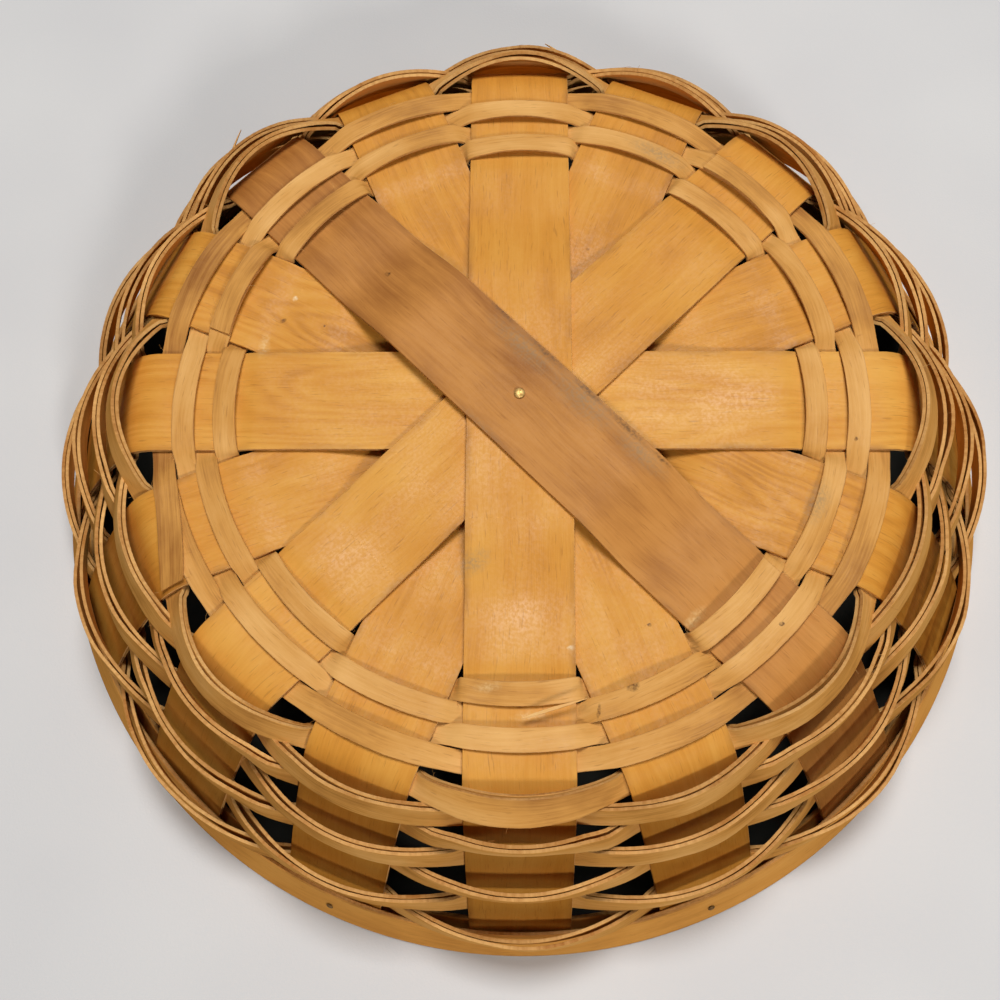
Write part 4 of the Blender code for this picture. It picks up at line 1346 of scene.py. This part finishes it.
def make_hoops(tree, finishes):
    """The hoop outside the ends of the stakes, and the one inside them."""
    inputs = ply_inputs(-HOOP_THICKNESS / 2, HOOP_THICKNESS, finishes["rim"], finishes["cut edge"])
    for name, near, far, bow in (
        ("rim_hoop_outer", HOOP_NEAR, HOOP_FAR, SPLINT_WIDTH / 2),
        ("rim_hoop_inner", -HOOP_FAR, -HOOP_NEAR, 0.0),
    ):
        pairs = hoop_stations(near, far, bow)
        seed = HOOP_GRAIN + near / MM
        surface = strip_surface(name + "_middle", pairs, HOOP_COLUMNS, seed, HOOP_TONES, HOOP_FIGURE)
        place(run_tree("wood_" + name, surface, tree, inputs, HOOP_ROUNDING), "rim_wood", name)


def make_pins(finishes):
    """The brads round the rim and the tack in the middle of the base."""
    along = WALL.length - HOOP_WIDTH / 2
    radius, height = WALL.point(along)
    reach = HOOP_FAR + STAKE_BOW * math.sin(WALL.rim_angle) + CLEARANCE
    head, end = (BRAD_HEAD_RADIUS, BRAD_HEAD_HEIGHT), (BRAD_END_RADIUS, BRAD_END_HEIGHT)
    brad = pin_mesh("brad", BRAD_RADIUS, head, end, reach, -HOOP_FAR - CLEARANCE)
    inputs = {
        "Number": BRADS,
        "Radius": radius,
        "Height": height,
        "First turn": STEP_ANGLE,
        "Slope": WALL.angle(along),
        "Finish": finishes["steel"],
    }
    brads = run_tree("rim_brads", brad, brad_tree(), inputs)
    place(brads, "steel", *(f"rim_brad_{number + 1}" for number in range(BRADS)))
    head, end = (TACK_HEAD_RADIUS, TACK_HEAD_HEIGHT), (TACK_END_RADIUS, TACK_END_HEIGHT)
    skin = pin_mesh("tack", TACK_RADIUS, head, end, TACK_REACH, -TACK_REACH, BASE_HEIGHT)
    tack = bpy.data.objects.new("brass_tack", skin)
    bpy.context.scene.collection.objects.link(tack)
    skin.materials.append(finishes["brass"])
    skin.shade_smooth()
    skin.set_sharp_from_angle(angle=SHARP_ANGLE)
    place(tack, "brass", "centre_tack")


def make_camera():
    """Where the photograph was taken from: above the basket and a little in front of it."""
    ahead = (CAMERA_TARGET - CAMERA_PLACE).normalized()
    right = ahead.cross(Vector((0, 0, 1))).normalized()
    up = right.cross(ahead)
    rolled_right = math.cos(CAMERA_ROLL) * right + math.sin(CAMERA_ROLL) * up
    rolled_up = math.cos(CAMERA_ROLL) * up - math.sin(CAMERA_ROLL) * right
    camera = bpy.data.cameras.new("Camera")
    camera.sensor_width = CAMERA_SENSOR
    camera.lens = CAMERA_LENS
    camera.clip_start = CAMERA_NEAR
    holder = bpy.data.objects.new("Camera", camera)
    bpy.context.scene.collection.objects.link(holder)
    turn = Matrix((rolled_right, rolled_up, -ahead)).transposed().to_4x4()
    holder.matrix_world = Matrix.Translation(CAMERA_PLACE) @ turn
    bpy.context.scene.camera = holder


def add_lamp(name, stand, size, watts, shade):
    """A soft rectangular lamp that points at the basket."""
    lamp = bpy.data.lights.new(name, "AREA")
    lamp.shape = "RECTANGLE"
    lamp.size, lamp.size_y = size
    lamp.energy = watts
    lamp.color = colour(shade)[:3]
    holder = bpy.data.objects.new(name, lamp)
    bpy.context.scene.collection.objects.link(holder)
    holder.location = stand
    holder.rotation_euler = (Vector(LAMP_TARGET) - Vector(stand)).to_track_quat("-Z", "Y").to_euler()


def make_studio():
    """A pale sheet, a broad soft lamp overhead and a smaller one in front."""
    floor_mesh = bpy.data.meshes.new("Sheet")
    corners = [(x * SHEET_HALF, y * SHEET_HALF, 0.0) for x, y in ((-1, -1), (1, -1), (1, 1), (-1, 1))]
    floor_mesh.from_pydata(corners, [], [(0, 1, 2, 3)])
    floor = bpy.data.objects.new("Sheet", floor_mesh)
    floor_mesh.materials.append(cloth_ground("Cotton sheet, plain woven"))
    bpy.context.scene.collection.objects.link(floor)
    world = bpy.data.worlds.new("Room")
    bpy.context.scene.world = world
    world.use_nodes = True
    tree = world.node_tree
    room = tree.nodes["Background"]
    room.inputs["Color"].default_value = colour("#F4ECE2")
    room.inputs["Strength"].default_value = ROOM_STRENGTH
    # The eye, and what mirrors in the varnish and the metal, meets a pale wall instead
    wall = add(tree, "ShaderNodeBackground", {"Color": colour(PALE_WALL), "Strength": 1.0})
    both = add(tree, "ShaderNodeMixShader", {0: seen_rays(tree), 1: room.outputs[0], 2: wall.outputs[0]})
    tree.links.new(both.outputs[0], tree.nodes["World Output"].inputs["Surface"])
    for lamp in LAMPS:
        add_lamp(*lamp)
    bpy.context.scene.view_settings.view_transform = "Standard"


def main():
    finishes = {
        "splint": wood(
            "Peeled birch splint, varnished",
            ("#E5AC52", "#D29038", "#9C5E1E"),
            depth=1.0,
            polish=0.30,
            painted_side_shade=0.42,
        ),
        "top splint": wood(
            "Peeled birch splint, varnished and handled",
            ("#D89C56", "#C28542", "#8A5222"),
            depth=1.3,
            polish=0.06,
            painted_side_shade=0.38,
            clouds=TOP_CLOUDS,
            smudges=EDGE_SMUDGES,
        ),
        "weaver": wood(
            "Split birch weaver, varnished",
            ("#E7B36C", "#D0964C", "#8C5624"),
            depth=1.9,
            polish=0.26,
            painted_side_shade=0.0,
        ),
        "rim": wood(
            "Bent ash hoop, varnished",
            ("#F0B868", "#DE9E4E", "#A8682C"),
            depth=0.9,
            polish=0.1,
            painted_side_shade=0.0,
        ),
        "cut edge": cut_edge("Birch, cut across the face", "#E8B874", "#A66C30"),
        "brass": drawn_metal("Brass tack, stamped", "#D2B070", "#8A6838", 0.42),
        "steel": drawn_metal("Steel brad, drawn wire", "#8A6A40", "#4E3820", 0.6),
    }
    tree = strip_tree()
    make_splints(tree, finishes)
    fibres = fibre_tree()
    make_base_weavers(tree, fibres, finishes)
    make_side_weavers(tree, fibres, finishes)
    make_slivers(tree, finishes)
    make_hoops(tree, finishes)
    make_pins(finishes)
    make_camera()
    make_studio()


main()
